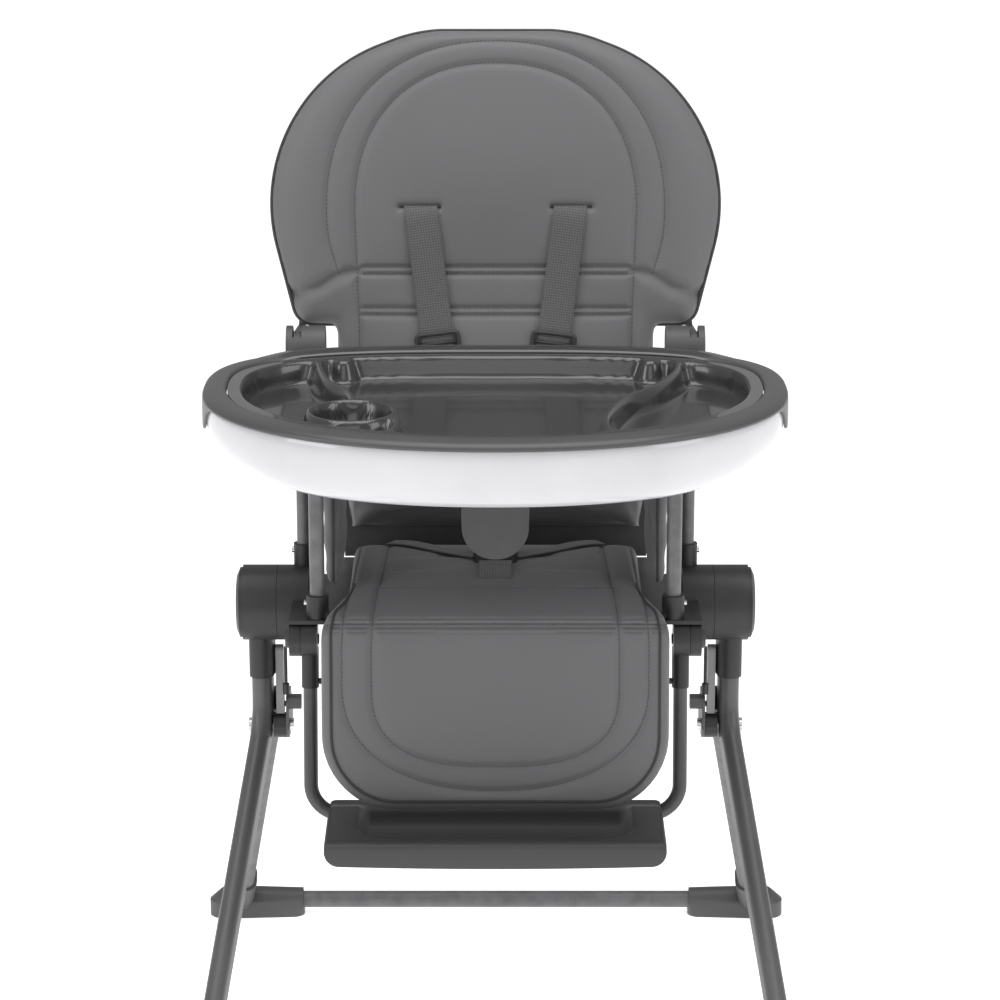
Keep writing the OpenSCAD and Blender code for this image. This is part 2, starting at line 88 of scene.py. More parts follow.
def on_calf(x, down, out=0.0):
    """A point on the calf rest, from its hinge axis."""
    return CALF_HINGE + X * x + CALF_DOWN * down + CALF_OUT * out


def ease(t):
    """A smooth step from 0 to 1."""
    t = min(1.0, max(0.0, t))
    return t * t * (3 - 2 * t)


def between(a, b, t):
    return a + (b - a) * t


def bent(value, power):
    """The value raised to a power, with its sign kept."""
    return math.copysign(abs(value) ** power, value)


# ---------- shader node groups ----------

def new_group(name, inputs, outputs):
    group = bpy.data.node_groups.new(name, "ShaderNodeTree")
    for label, kind, default in inputs:
        socket = group.interface.new_socket(label, in_out="INPUT", socket_type=kind)
        if default is not None:
            socket.default_value = default
    for label, kind in outputs:
        group.interface.new_socket(label, in_out="OUTPUT", socket_type=kind)
    return group, group.nodes.new("NodeGroupInput"), group.nodes.new("NodeGroupOutput")


def add_node(tree, kind, inputs=None, **settings):
    """A new node whose inputs, named or numbered, are set to a value or linked to a socket."""
    node = tree.nodes.new(kind)
    for label, value in settings.items():
        setattr(node, label, value)
    for label, value in (inputs or {}).items():
        if isinstance(value, bpy.types.NodeSocket):
            tree.links.new(value, node.inputs[label])
        else:
            node.inputs[label].default_value = value
    return node


def math_node(tree, operation, *values):
    return add_node(tree, "ShaderNodeMath", dict(enumerate(values)), operation=operation).outputs[0]


def make_grain():
    """Fine moulded or painted grain: a height, and a soft mask that changes over the surface."""
    group, start, end = new_group(
        "surface_grain",
        [("Fine Scale", "NodeSocketFloat", 900.0), ("Broad Scale", "NodeSocketFloat", 14.0)],
        [("Height", "NodeSocketFloat"), ("Mask", "NodeSocketFloat")])
    place = add_node(group, "ShaderNodeTexCoord").outputs["Object"]
    for label, detail, result in (("Fine Scale", 3, "Height"), ("Broad Scale", 4, "Mask")):
        cloud = add_node(group, "ShaderNodeTexNoise",
                         {"Vector": place, "Scale": start.outputs[label], "Detail": detail})
        group.links.new(cloud.outputs["Fac"], end.inputs[result])
    return group


def make_edge_wear():
    """A mask of worn edges, broken up by noise."""
    group, start, end = new_group(
        "edge_wear",
        [("Low", "NodeSocketFloat", 0.53), ("High", "NodeSocketFloat", 0.62),
         ("Break Scale", "NodeSocketFloat", 60.0)],
        [("Mask", "NodeSocketFloat")])
    place = add_node(group, "ShaderNodeTexCoord").outputs["Object"]
    patch = add_node(group, "ShaderNodeTexNoise", {"Vector": place, "Scale": start.outputs["Break Scale"]})
    ramp = add_node(group, "ShaderNodeMapRange",
                    {"Value": add_node(group, "ShaderNodeNewGeometry").outputs["Pointiness"],
                     "From Min": start.outputs["Low"], "From Max": start.outputs["High"]})
    mixed = math_node(group, "MULTIPLY", ramp.outputs[0], patch.outputs["Fac"])
    group.links.new(mixed, end.inputs["Mask"])
    return group


def make_weave():
    """Threads crossing at right angles, from a position in metres: a height and a thread mask."""
    group, start, end = new_group(
        "cloth_weave",
        [("Position", "NodeSocketVector", None), ("Thread", "NodeSocketFloat", 0.0006)],
        [("Height", "NodeSocketFloat"), ("Mask", "NodeSocketFloat")])
    parts = add_node(group, "ShaderNodeSeparateXYZ", {0: start.outputs["Position"]})
    turns = math_node(group, "DIVIDE", math.pi, start.outputs["Thread"])
    both_ways = math_node(group, "ADD", parts.outputs["Y"], parts.outputs["Z"])
    across, along = (
        math_node(group, "ABSOLUTE", math_node(group, "SINE", math_node(group, "MULTIPLY", place, turns)))
        for place in (parts.outputs["X"], both_ways))
    height = math_node(group, "MULTIPLY", across, along)
    group.links.new(height, end.inputs["Height"])
    mask = math_node(group, "ADD", math_node(group, "MULTIPLY", height, 0.6), 0.2)
    group.links.new(mask, end.inputs["Mask"])
    return group


GRAIN = make_grain()
EDGE_WEAR = make_edge_wear()
WEAVE = make_weave()

# ---------- materials ----------


class Finish:
    """A material with its Principled shader and the few links that every finish needs."""

    def __init__(self, name, rough, metal=0.0, **fixed):
        self.material = bpy.data.materials.new(name)
        self.material.use_nodes = True
        self.tree = self.material.node_tree
        self.shader = self.tree.nodes["Principled BSDF"]
        self.shader.inputs["Roughness"].default_value = rough
        self.shader.inputs["Metallic"].default_value = metal
        for label, value in fixed.items():
            self.shader.inputs[label.replace("_", " ")].default_value = value

    def group(self, tree, **values):
        inputs = {label.replace("_", " "): value for label, value in values.items()}
        return add_node(self.tree, "ShaderNodeGroup", inputs, node_tree=tree)

    def colour_from(self, mask, dark, light):
        ramp = add_node(self.tree, "ShaderNodeMapRange",
                        {"Vector": mask, 7: (0.3,) * 3, 8: (0.7,) * 3, 9: dark, 10: light},
                        data_type="FLOAT_VECTOR")
        return ramp.outputs["Vector"]

    def mix(self, mask, a, b):
        """Colour a, going over to the plain colour b where the mask is bright."""
        return add_node(self.tree, "ShaderNodeMix", {"Factor": mask, 6: a, 7: (*b, 1)},
                        data_type="RGBA").outputs[2]

    def roughness_from(self, mask, low, high):
        ramp = add_node(self.tree, "ShaderNodeMapRange",
                        {"Value": mask, "From Min": 0.3, "From Max": 0.7, "To Min": low, "To Max": high})
        self.tree.links.new(ramp.outputs[0], self.shader.inputs["Roughness"])

    def bump(self, *layers):
        """Stacks bumps: each layer is (height socket, strength, distance in metres)."""
        below = {}
        for height, strength, distance in layers:
            node = add_node(self.tree, "ShaderNodeBump",
                            {"Strength": strength, "Distance": distance, "Height": height, **below})
            below = {"Normal": node.outputs[0]}
        self.tree.links.new(below["Normal"], self.shader.inputs["Normal"])

    def base(self, socket):
        self.tree.links.new(socket, self.shader.inputs["Base Color"])


def grey(level, blue=1.03):
    return (level, level, level * blue)


def moulded(name, level, rough, grain_size=1100.0, grain_depth=0.25, wear=0.35, **fixed):
    """Moulded plastic with a fine grain and lighter, rubbed edges."""
    f = Finish(name, rough, **fixed)
    grain = f.group(GRAIN, Fine_Scale=grain_size, Broad_Scale=9.0)
    edge = f.group(EDGE_WEAR)
    body = f.colour_from(grain.outputs["Mask"], grey(level * 0.93), grey(level * 1.07))
    rubbed = math_node(f.tree, "MULTIPLY", edge.outputs["Mask"], wear)
    f.base(f.mix(rubbed, body, grey(min(1.0, level * 2.0 + 0.02))))
    f.roughness_from(grain.outputs["Mask"], rough * 0.9, min(1.0, rough * 1.12))
    f.bump((grain.outputs["Height"], grain_depth, 0.0003))
    return f.material


def painted(name, level, rough=0.38):
    """Powder-coated steel tube: faint orange peel, brighter metal where edges are worn."""
    f = Finish(name, rough)
    grain = f.group(GRAIN, Fine_Scale=420.0, Broad_Scale=12.0)
    edge = f.group(EDGE_WEAR, Low=0.56, High=0.68)
    body = f.colour_from(grain.outputs["Mask"], grey(level * 0.92), grey(level * 1.08))
    worn = math_node(f.tree, "MULTIPLY", edge.outputs["Mask"], 0.5)
    f.base(f.mix(worn, body, grey(0.45)))
    f.roughness_from(grain.outputs["Mask"], rough * 0.88, rough * 1.15)
    f.bump((grain.outputs["Height"], 0.12, 0.0004))
    return f.material


def bright_steel():
    f = Finish("bright_steel", 0.24, metal=1.0)
    grain = f.group(GRAIN, Fine_Scale=1500.0, Broad_Scale=40.0)
    f.base(f.colour_from(grain.outputs["Mask"], grey(0.62), grey(0.74)))
    f.roughness_from(grain.outputs["Mask"], 0.18, 0.32)
    f.bump((grain.outputs["Height"], 0.05, 0.0001))
    return f.material


def coated_cloth(name, level, rough=0.56):
    """Wipe-clean coated cloth: a very fine weave under a soft skin, with faint creasing."""
    f = Finish(name, rough, Sheen_Weight=0.18, Sheen_Roughness=0.45, Specular_IOR_Level=0.42)
    place = add_node(f.tree, "ShaderNodeTexCoord").outputs["Object"]
    weave = f.group(WEAVE, Thread=0.00075, Position=place)
    grain = f.group(GRAIN, Fine_Scale=260.0, Broad_Scale=6.0)
    body = f.colour_from(grain.outputs["Mask"], grey(level * 0.95), grey(level * 1.05))
    threads = math_node(f.tree, "MULTIPLY", weave.outputs["Mask"], 0.22)
    f.base(f.mix(threads, body, grey(level * 1.25)))
    f.roughness_from(grain.outputs["Mask"], rough * 0.92, rough * 1.1)
    f.bump((weave.outputs["Height"], 0.22, 0.0002), (grain.outputs["Height"], 0.10, 0.0006))
    return f.material


def webbing_cloth(name, level):
    """Woven strap: ribs across the strap from its own UV, in metres."""
    f = Finish(name, 0.72, Sheen_Weight=0.25, Sheen_Roughness=0.5)
    uv = add_node(f.tree, "ShaderNodeUVMap").outputs["UV"]
    weave = f.group(WEAVE, Thread=0.0026, Position=uv)
    fine = f.group(WEAVE, Thread=0.0011, Position=uv)
    f.base(f.colour_from(weave.outputs["Mask"], grey(level * 0.72), grey(level * 1.3)))
    f.bump((weave.outputs["Height"], 0.7, 0.0007), (fine.outputs["Height"], 0.3, 0.0003))
    return f.material


FINISH = {
    "leg_paint": painted("leg_paint", 0.085),
    "rear_leg_paint": painted("rear_leg_paint", 0.075, 0.5),
    "arm_tube_paint": painted("arm_tube_paint", 0.052, 0.33),
    "rail_metal": painted("rail_metal", 0.26, 0.4),
    "bright_steel": bright_steel(),
    "hub_plastic": moulded("hub_plastic", 0.017, 0.46),
    "shoe_plastic": moulded("shoe_plastic", 0.075, 0.5),
    "black_plastic": moulded("black_plastic", 0.018, 0.4),
    "shell_plastic": moulded("shell_plastic", 0.055, 0.5),
    "footrest_plastic": moulded("footrest_plastic", 0.036, 0.44),
    "cover_fabric": coated_cloth("cover_fabric", 0.118),
    "webbing": webbing_cloth("webbing", 0.088),
    "tray_white": moulded("tray_white", 0.56, 0.16, 2000.0, 0.02, 0.0, Coat_Weight=0.5,
                          Coat_Roughness=0.06),
    "tray_grey": moulded("tray_grey", 0.058, 0.36, 1300.0, 0.1, 0.2),
    "insert_gloss": moulded("insert_gloss", 0.030, 0.22, 2000.0, 0.02, 0.0, Coat_Weight=0.6,
                            Coat_Roughness=0.05),
}
PIPING = coated_cloth("piping_cloth", 0.03, 0.6)
THREAD = coated_cloth("stitch_thread", 0.06, 0.7)
# Dark cloth for the painted shadow line along each harness slot.
PAINTED_SLOT_SHADOW = coated_cloth("seam_shadow", 0.03, 0.8)

for part in frame["record"]["subparts"]:
    shown = nodes[part["node"]]
    shown.data.materials.clear()
    shown.data.materials.append(FINISH[part["material_slot"]])

# ---------- making pieces ----------


@contextmanager
def opened(data):
    """The mesh opened for editing, and written back afterwards."""
    shell = bmesh.new()
    shell.from_mesh(data)
    yield shell
    shell.to_mesh(data)
    shell.free()


def placed(name, data, *materials):
    piece = bpy.data.objects.new(name, data)
    bpy.context.scene.collection.objects.link(piece)
    for material in materials:
        data.materials.append(material)
    return piece


def shade(data, smooth=True):
    data.polygons.foreach_set("use_smooth", [smooth] * len(data.polygons))


def mesh_piece(name, points, faces, material, smooth=True, uvs=None):
    data = bpy.data.meshes.new(name)
    data.from_pydata([tuple(p) for p in points], [], faces)
    data.update()
    if uvs is not None:
        layer = data.uv_layers.new(name="UVMap")
        for loop in data.loops:
            layer.data[loop.index].uv = uvs[loop.vertex_index]
    with opened(data) as shell:
        bmesh.ops.recalc_face_normals(shell, faces=shell.faces)
    shade(data, smooth)
    return placed(name, data, material)


def applied(piece):
    """Turns the piece with its modifiers into a plain mesh."""
    bpy.context.view_layer.update()
    seen = piece.evaluated_get(bpy.context.evaluated_depsgraph_get())
    made = bpy.data.meshes.new_from_object(seen)
    old = piece.data
    piece.modifiers.clear()
    piece.data = made
    bpy.data.meshes.remove(old)
    return piece


def subdivided(piece, levels=1):
    step = piece.modifiers.new("soften", "SUBSURF")
    step.levels = levels
    step.render_levels = levels
    return applied(piece)


def joined(name, pieces):
    """One piece from several, keeping their materials and UVs."""
    shell = bmesh.new()
    materials = []
    for piece in pieces:
        start = len(shell.faces)
        shell.from_mesh(piece.data)
        shell.faces.ensure_lookup_table()
        places = []
        for material in piece.data.materials:
            if material not in materials:
                materials.append(material)
            places.append(materials.index(material))
        for face in shell.faces[start:]:
            face.material_index = places[min(face.material_index, len(places) - 1)]
    data = bpy.data.meshes.new(name)
    shell.to_mesh(data)
    shell.free()
    for piece in pieces:
        old = piece.data
        bpy.data.objects.remove(piece)
        bpy.data.meshes.remove(old)
    return placed(name, data, *materials)


def rings(name, loops, material, capped=True, smooth=True, uvs=None):
    """A skin over a run of loops that all have the same number of points."""
    count = len(loops[0])
    points = [p for loop in loops for p in loop]
    faces = []
    for i in range(len(loops) - 1):
        for j in range(count):
            k = (j + 1) % count
            faces.append((i * count + j, i * count + k, (i + 1) * count + k, (i + 1) * count + j))
    if capped:
        faces.append(tuple(range(count))[::-1])
        faces.append(tuple(range((len(loops) - 1) * count, len(loops) * count)))
    return mesh_piece(name, points, faces, material, smooth, uvs)


def smooth_path(points, each):
    """A Catmull-Rom curve through the points."""
    out = []
    for i in range(len(points) - 1):
        a, b, c, d = (points[min(len(points) - 1, max(0, i + k))] for k in (-1, 0, 1, 2))
        for s in range(each):
            t = s / each
            out.append(0.5 * ((2 * b) + (c - a) * t + (2 * a - 5 * b + 4 * c - d) * t * t
                              + (3 * b - a - 3 * c + d) * t ** 3))
    out.append(points[-1].copy())
    return out


def even_path(points, step, closed=False):
    """The same path with its points a fixed distance apart."""
    run = list(points) + ([points[0]] if closed else [])
    total = sum((run[i + 1] - run[i]).length for i in range(len(run) - 1))
    count = max(2, round(total / step))
    gap = total / count
    out = [run[0].copy()]
    walked = 0.0
    for i in range(len(run) - 1):
        leg = (run[i + 1] - run[i]).length
        while len(out) < count + 1 and walked + leg >= gap * len(out) - 1e-9:
            t = (gap * len(out) - walked) / max(leg, 1e-9)
            out.append(run[i].lerp(run[i + 1], min(1.0, t)))
        walked += leg
    if closed:
        return out[:count]
    while len(out) < count + 1:
        out.append(run[-1].copy())
    return out


def path_frames(points, up, closed=False):
    """A side and an up direction at each point, with up kept close to the given one."""
    frames = []
    count = len(points)
    for i, p in enumerate(points):
        before = points[(i - 1) % count] if closed or i else p
        after = points[(i + 1) % count] if closed or i < count - 1 else p
        way = (after - before).normalized()
        side = way.cross(up).normalized()
        frames.append((way, side, side.cross(way).normalized()))
    return frames


def tube(name, points, radius, material, around=12, closed=False, up=Z):
    loops = []
    for p, (way, side, top) in zip(points, path_frames(points, up, closed)):
        loops.append([p + side * (math.cos(a) * radius) + top * (math.sin(a) * radius)
                      for a in (2 * math.pi * k / around for k in range(around))])
    if closed:
        loops.append([q.copy() for q in loops[0]])
        made = rings(name, loops, material, capped=False)
        welded(made.data)
        return made
    return rings(name, loops, material)


def welded(data):
    with opened(data) as shell:
        bmesh.ops.remove_doubles(shell, verts=shell.verts, dist=1e-6)
        bmesh.ops.recalc_face_normals(shell, faces=shell.faces)


# ---------- pads: swollen by simulation, then sewn ----------


def remeshed(piece, size):
    step = piece.modifiers.new("remesh", "REMESH")
    step.mode = "VOXEL"
    step.voxel_size = size
    return applied(piece)


def swollen(piece, is_held, most, pressure=4.0, frames=20):
    """Blows the pad up like stuffed cloth, with the held points kept where they are."""
    rest = [v.co.copy() for v in piece.data.vertices]
    held = piece.vertex_groups.new(name="held")
    for i, p in enumerate(rest):
        grip = is_held(p)
        if grip > 0:
            held.add([i], grip, "REPLACE")
    cloth = piece.modifiers.new("stuffing", "CLOTH")
    how = cloth.settings
    for label, value in (("quality", 4), ("mass", 0.25), ("tension_stiffness", 12),
                         ("compression_stiffness", 12), ("shear_stiffness", 6), ("bending_stiffness", 0.4),
                         ("use_pressure", True), ("uniform_pressure_force", pressure),
                         ("vertex_group_mass", "held")):
        setattr(how, label, value)
    how.effector_weights.gravity = 0
    cloth.collision_settings.use_collision = False
    cloth.point_cache.frame_start = 1
    cloth.point_cache.frame_end = frames
    for f in range(1, frames + 1):
        bpy.context.scene.frame_set(f)
    seen = piece.evaluated_get(bpy.context.evaluated_depsgraph_get())
    moved = [v.co.copy() for v in seen.data.vertices]
    piece.modifiers.clear()
    bpy.context.scene.frame_set(1)
    for v, a, b in zip(piece.data.vertices, rest, moved):
        shift = b - a
        far = shift.length
        if far > 1e-9:
            v.co = a + shift * (most * math.tanh(far / most) / far)
    piece.vertex_groups.clear()
    piece.data.update()


class Seam:
    """A sewn line drawn on a flat pattern, with its depth and width in metres."""

    CELL = 0.012

    def __init__(self, line, depth, width):
        self.line = even_path([Vector((x, y, 0)) for x, y in line], 0.003)
        self.depth = depth
        self.width = width
        self.cells = {}
        for p in self.line:
            self.cells.setdefault(self.cell(p.x, p.y), []).append(p)

    def cell(self, x, y):
        return math.floor(x / self.CELL), math.floor(y / self.CELL)

    def away(self, x, y):
        """How far a flat point is from the line, up to the size of a cell."""
        cx, cy = self.cell(x, y)
        best = self.CELL ** 2
        for i in (-1, 0, 1):
            for j in (-1, 0, 1):
                for p in self.cells.get((cx + i, cy + j), ()):
                    best = min(best, (p.x - x) ** 2 + (p.y - y) ** 2)
        return math.sqrt(best)


def refined(piece, near):
    """Cuts the faces near the seams in four, so that a seam stays crisp."""
    with opened(piece.data) as shell:
        marked = {v for v in shell.verts if near(v.co)}
        edges = [e for e in shell.edges if e.verts[0] in marked and e.verts[1] in marked]
        bmesh.ops.subdivide_edges(shell, edges=edges, cuts=1, use_grid_fill=True, smooth=0.0)
        bmesh.ops.triangulate(shell, faces=[f for f in shell.faces if len(f.verts) > 4])
    shade(piece.data)


def sewn_down(piece, seams, flat, facing):
    """Pulls the cloth in along every seam.

    flat gives a point's place on the pattern, and facing the way out of the pad there.
    """
    piece.data.update()
    normals = [v.normal.copy() for v in piece.data.vertices]
    for v, n in zip(piece.data.vertices, normals):
        out = facing(v.co)
        if n.dot(out) < 0.15:
            continue
        x, y = flat(v.co)
        drop = 0.0
        for seam in seams:
            d = seam.away(x, y)
            if d < 0.0115:
                drop = max(drop, seam.depth * (math.exp(-((d / seam.width) ** 2))
                                               + 0.25 * math.exp(-((d / (seam.width * 2.2)) ** 2))))
        if drop:
            v.co -= n * drop
    piece.data.update()


def surface_of(piece):
    return BVHTree.FromPolygons([v.co.copy() for v in piece.data.vertices],
                                [tuple(p.vertices) for p in piece.data.polygons])


def laid_on(tree, points, way, lift):
    """The points moved on to the surface along the way out, and lifted off it a little."""
    places = []
    for p in points:
        hit, normal, _, _ = tree.ray_cast(p + way * 0.08, -way, 0.16)
        if hit is None:
            hit, normal, _, _ = tree.find_nearest(p)
        if normal.dot(way) < 0:
            normal = -normal
        places.append(hit + normal * lift)
    return places


def stitch_tree():
    """Geometry nodes: small stitches set evenly along a line, each turned along it."""
    tree = bpy.data.node_groups.new("stitch_run", "GeometryNodeTree")
    face = tree.interface
    face.new_socket("Geometry", in_out="INPUT", socket_type="NodeSocketGeometry")
    for label, value in (("Pitch", 0.0042), ("Stitch Length", 0.0028), ("Thread Radius", 0.00042)):
        socket = face.new_socket(label, in_out="INPUT", socket_type="NodeSocketFloat")
        socket.default_value = value
    face.new_socket("Thread", in_out="INPUT", socket_type="NodeSocketMaterial")
    face.new_socket("Geometry", in_out="OUTPUT", socket_type="NodeSocketGeometry")

    def step(kind, inputs=None, **settings):
        return add_node(tree, kind, inputs, **settings).outputs[0]

    given = add_node(tree, "NodeGroupInput").outputs
    curve = step("GeometryNodeMeshToCurve", {"Mesh": given["Geometry"]})
    curve = step("GeometryNodeResampleCurve", {"Curve": curve, "Length": given["Pitch"]}, mode="LENGTH")
    bead = step("GeometryNodeMeshCylinder",
                {"Vertices": 6, "Radius": given["Thread Radius"], "Depth": given["Stitch Length"]})
    turn = step("FunctionNodeAlignRotationToVector", {"Vector": step("GeometryNodeInputTangent")}, axis="Z")
    beads = step("GeometryNodeInstanceOnPoints", {"Points": curve, "Instance": bead, "Rotation": turn})
    beads = step("GeometryNodeRealizeInstances", {"Geometry": beads})
    beads = step("GeometryNodeSetMaterial", {"Geometry": beads, "Material": given["Thread"]})
    add_node(tree, "NodeGroupOutput", {"Geometry": beads})
    return tree


STITCHES = stitch_tree()


def stitched(name, lines):
    """All the stitches along some lines of points, as one plain mesh."""
    points, edges = [], []
    for line in lines:
        first = len(points)
        points += [tuple(p) for p in line]
        edges += [(first + i, first + i + 1) for i in range(len(line) - 1)]
    data = bpy.data.meshes.new(name)
    data.from_pydata(points, edges, [])
    piece = placed(name, data)
    step = piece.modifiers.new("stitches", "NODES")
    step.node_group = STITCHES
    for item in STITCHES.interface.items_tree:
        if item.name == "Thread":
            step[item.identifier] = THREAD
    made = applied(piece)
    shade(made.data)
    return made


def arch(half, top, foot, power, count=40):
    """The rounded top of an upside-down U on a pattern, from its right foot to its left."""
    rise = top - foot
    points = []
    for i in range(count + 1):
        a = math.pi * i / count
        points.append((half * bent(math.cos(a), 2 / power), foot + rise * abs(math.sin(a)) ** (2 / power)))
    return points


# ---------- the back cover ----------

HEAD_FOOT = (HINGE.z - BACK_FOOT.z) / BACK_UP.z          # where the head part starts, along the back
TAIL_HALF = 0.163
CORNER_UP = HEAD_FOOT + 0.030


def back_flat(p):
    """Where a point sits on the back's own pattern: across, and up from the foot."""
    away = p - BACK_FOOT
    return away.x, away.dot(BACK_UP)


def back_depth(p):
    return (p - BACK_FOOT).dot(BACK_OUT)


def head_outline(inset, count=120):
    """The head part's edge: a wide round top that draws in to small lower corners."""
    big, corner = 0.172, 0.022
    points = []
    for s, a0, a1 in ((1, -14, 90), (-1, 90, 194)):
        for i in range(count // 2):
            a = math.radians(a0 + (a1 - a0) * i / (count // 2 - 1))
            points.append((s * (BACK_HALF - big) + (big - inset) * math.cos(a),
                           BACK_TALL - big + (big - inset) * math.sin(a)))
    points = [(x, y + 0.0050 * max(0.0, 1 - (x / 0.11) ** 2) * (y > BACK_TALL - 0.06) - 0.0015)
              for x, y in points]
    for s, a0, a1 in ((-1, 194, 270), (1, 270, 346)):
        for i in range(12):
            a = math.radians(a0 + (a1 - a0) * i / 11)
            points.append((s * (BACK_HALF - 0.043) + (corner - inset) * math.cos(a),
                           CORNER_UP + (corner - inset) * math.sin(a)))
    return points


def pad_loft(name, outline, middle, thick, edge, crown):
    """A closed pad over an outline, rounded at its edge and a little fuller in the middle."""
    cx = sum(p[0] for p in outline) / len(outline)
    cy = sum(p[1] for p in outline) / len(outline)
    reach = min(math.hypot(x - cx, y - cy) for x, y in outline)
    half = thick / 2

    def ring(k, out, j=1.0):
        return [on_back(cx + (x - cx) * k * j, cy + (y - cy) * k * j, middle + out) for x, y in outline]

    turns = [(math.sin(i / 7 * math.pi / 2), math.cos(i / 7 * math.pi / 2)) for i in range(8)]
    loops = [ring(1 - edge * (1 - wide) / reach, half * high) for high, wide in turns]
    loops += [ring(k, half + crown * (1 - k * k), 1 - edge / reach) for k in (0.85, 0.7, 0.5, 0.3, 0.12)]
    back = [ring(1 - edge * (1 - wide) / reach, -half * high) for high, wide in turns[1:]]
    return rings(name, back[::-1] + loops, FINISH["cover_fabric"])


def make_back_cover():
    mid = -BACK_THICK / 2
    head = pad_loft("head_blank", head_outline(0.0008), mid, 0.034, 0.016, 0.004)
    tail_top = HEAD_FOOT + 0.115
    tail = []
    for s in (1, -1):
        for i in range(9):
            y = between(0.010, tail_top, i / 8 if s > 0 else 1 - i / 8)
            tail.append((s * between(TAIL_HALF - 0.014, TAIL_HALF - 0.002, ease(y / 0.12)), y))
    tail_pad = pad_loft("tail_blank", tail, mid + 0.001, 0.030, 0.012, 0.003)
    cover = joined("back_cover", [head, tail_pad])
    remeshed(cover, 0.0048)
    inner, outer, rows = back_seams()
    seams = [inner, outer, *rows]

    def held(p):
        if back_depth(p) < mid - 0.006:
            return 1.0
        x, y = back_flat(p)
        return 1.0 if min(seam.away(x, y) for seam in seams) < 0.0035 else 0.0

    swollen(cover, held, 0.007, 4.0)
    subdivided(cover)
    lines = [*seams, *creases, *slot_dips]
    refined(cover, lambda p: back_depth(p) > mid + 0.004
            and min(s.away(*back_flat(p)) for s in lines) < 0.0075)
    sewn_down(cover, lines, back_flat, lambda p: BACK_OUT)
    return cover, seams


def back_seams():
    inner = Seam([(0.138, HEAD_FOOT - 0.060), (0.1385, HEAD_FOOT + 0.02)]
                 + arch(0.1425, BACK_TALL - 0.031, HEAD_FOOT + 0.125, 2.25)
                 + [(-0.1385, HEAD_FOOT + 0.02), (-0.138, HEAD_FOOT - 0.060)], 0.0026, 0.0034)
    side = [(0.159, 0.062), (0.1615, 0.070), (0.1652, 0.082), (0.1688, 0.097), (0.1704, 0.112)]
    outer = Seam([(x, HEAD_FOOT + up) for x, up in side]
                 + arch(0.171, BACK_TALL - 0.009, HEAD_FOOT + 0.125, 2.25)
                 + [(-x, HEAD_FOOT + up) for x, up in side[::-1]], 0.0022, 0.0034)
    rows = [Seam([(-0.137, HEAD_FOOT + up), (0.137, HEAD_FOOT + up)], 0.0030, 0.0024)
            for up in (0.061, 0.068, 0.0195, 0.0265)]
    return inner, outer, rows


creases = [Seam([(s * x, HEAD_FOOT + up) for x, up in
                 ((0.205, 0.040), (0.178, 0.047), (0.158, 0.060), (0.139, 0.064))], 0.0040, 0.0050)
           for s in (-1, 1)]
SLOT_UP = HEAD_FOOT + 0.129
SLOT_IN, SLOT_OUT = 0.055, 0.097
slot_dips = [Seam([(s * (SLOT_IN + 0.003), SLOT_UP), (s * (SLOT_OUT - 0.001), SLOT_UP)], 0.0042, 0.0030)
             for s in (-1, 1)]

back_cover, back_sewn = make_back_cover()
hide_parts("back_pad", "lower_back_pad")
back_skin = surface_of(back_cover)
back_stitches = stitched("back_stitches", [
    laid_on(back_skin, [on_back(p.x, p.y) for p in seam.line], BACK_OUT, 0.0002) for seam in back_sewn])
edge_line = [on_back(x, y, -0.017) for x, y in head_outline(0.0012)]
back_piping = tube("back_piping", even_path(edge_line, 0.004, True), 0.0019, PIPING, 10, True, BACK_OUT)
for piece in (back_cover, back_stitches):
    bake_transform(piece)
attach(back_piping, "back")

# ---------- the seat and calf cover ----------

CALF_MID = 0.029
SEAT_MID = (seat_low.z + seat_high.z) / 2
CALF_LONG = 0.164
SEAT_BACK = seat_high.y - 0.001
CALF_ROUND = 0.074                               # radius of the calf pad's lower corners
COVER_THICK = 0.028

cover_line = smooth_path(
    [Vector((0, SEAT_BACK, SEAT_MID)), Vector((0, -0.020, SEAT_MID)), Vector((0, -0.075, SEAT_MID)),
     Vector((0, -0.104, SEAT_MID - 0.0005)), Vector((0, -0.1255, SEAT_MID - 0.0085)),
     on_calf(0, -0.014, CALF_MID - 0.001), on_calf(0, 0.008, CALF_MID), on_calf(0, 0.07, CALF_MID),
     on_calf(0, CALF_LONG, CALF_MID)], 12)
cover_line = even_path(cover_line, 0.003)
cover_run = [0.0]
for a, b in zip(cover_line, cover_line[1:]):
    cover_run.append(cover_run[-1] + (b - a).length)
COVER_LONG = cover_run[-1]
cover_frames = path_frames(cover_line, X)


def nearest_run(s):
    return min(range(len(cover_run)), key=lambda k: abs(cover_run[k] - s))


def cover_face(i):
    """The way out of the cover at one point of its line."""
    return cover_frames[i][0].cross(X)


def cover_at(x, s):
    """A point on the seat and calf cover: across, and along from the back of the seat."""
    i = nearest_run(s)
    return cover_line[i] + X * x + cover_frames[i][0] * (s - cover_run[i])


def cover_flat(p):
    """Where a point sits on the cover's own pattern: across, and along."""
    def gap(k):
        return (cover_line[k].y - p.y) ** 2 + (cover_line[k].z - p.z) ** 2

    i = min(range(0, len(cover_line), 3), key=gap)
    i = min(range(max(0, i - 3), min(len(cover_line) - 1, i + 3) + 1), key=gap)
    return p.x, cover_run[i] + (p - cover_line[i]).dot(cover_frames[i][0])


def cover_out(p):
    return cover_face(nearest_run(cover_flat(p)[1])).normalized()


def run_at(test):
    return cover_run[min(range(len(cover_line)), key=lambda k: test(cover_line[k]))]


SEAT_FRONT = run_at(lambda p: abs(p.y + 0.088) + (1 if p.z < SEAT_MID - 0.01 else 0))
SHOULDER = run_at(lambda p: (p - on_calf(0, -0.008, CALF_MID)).length)
CALF_TOP = run_at(lambda p: (p - on_calf(0, 0.0, CALF_MID)).length)


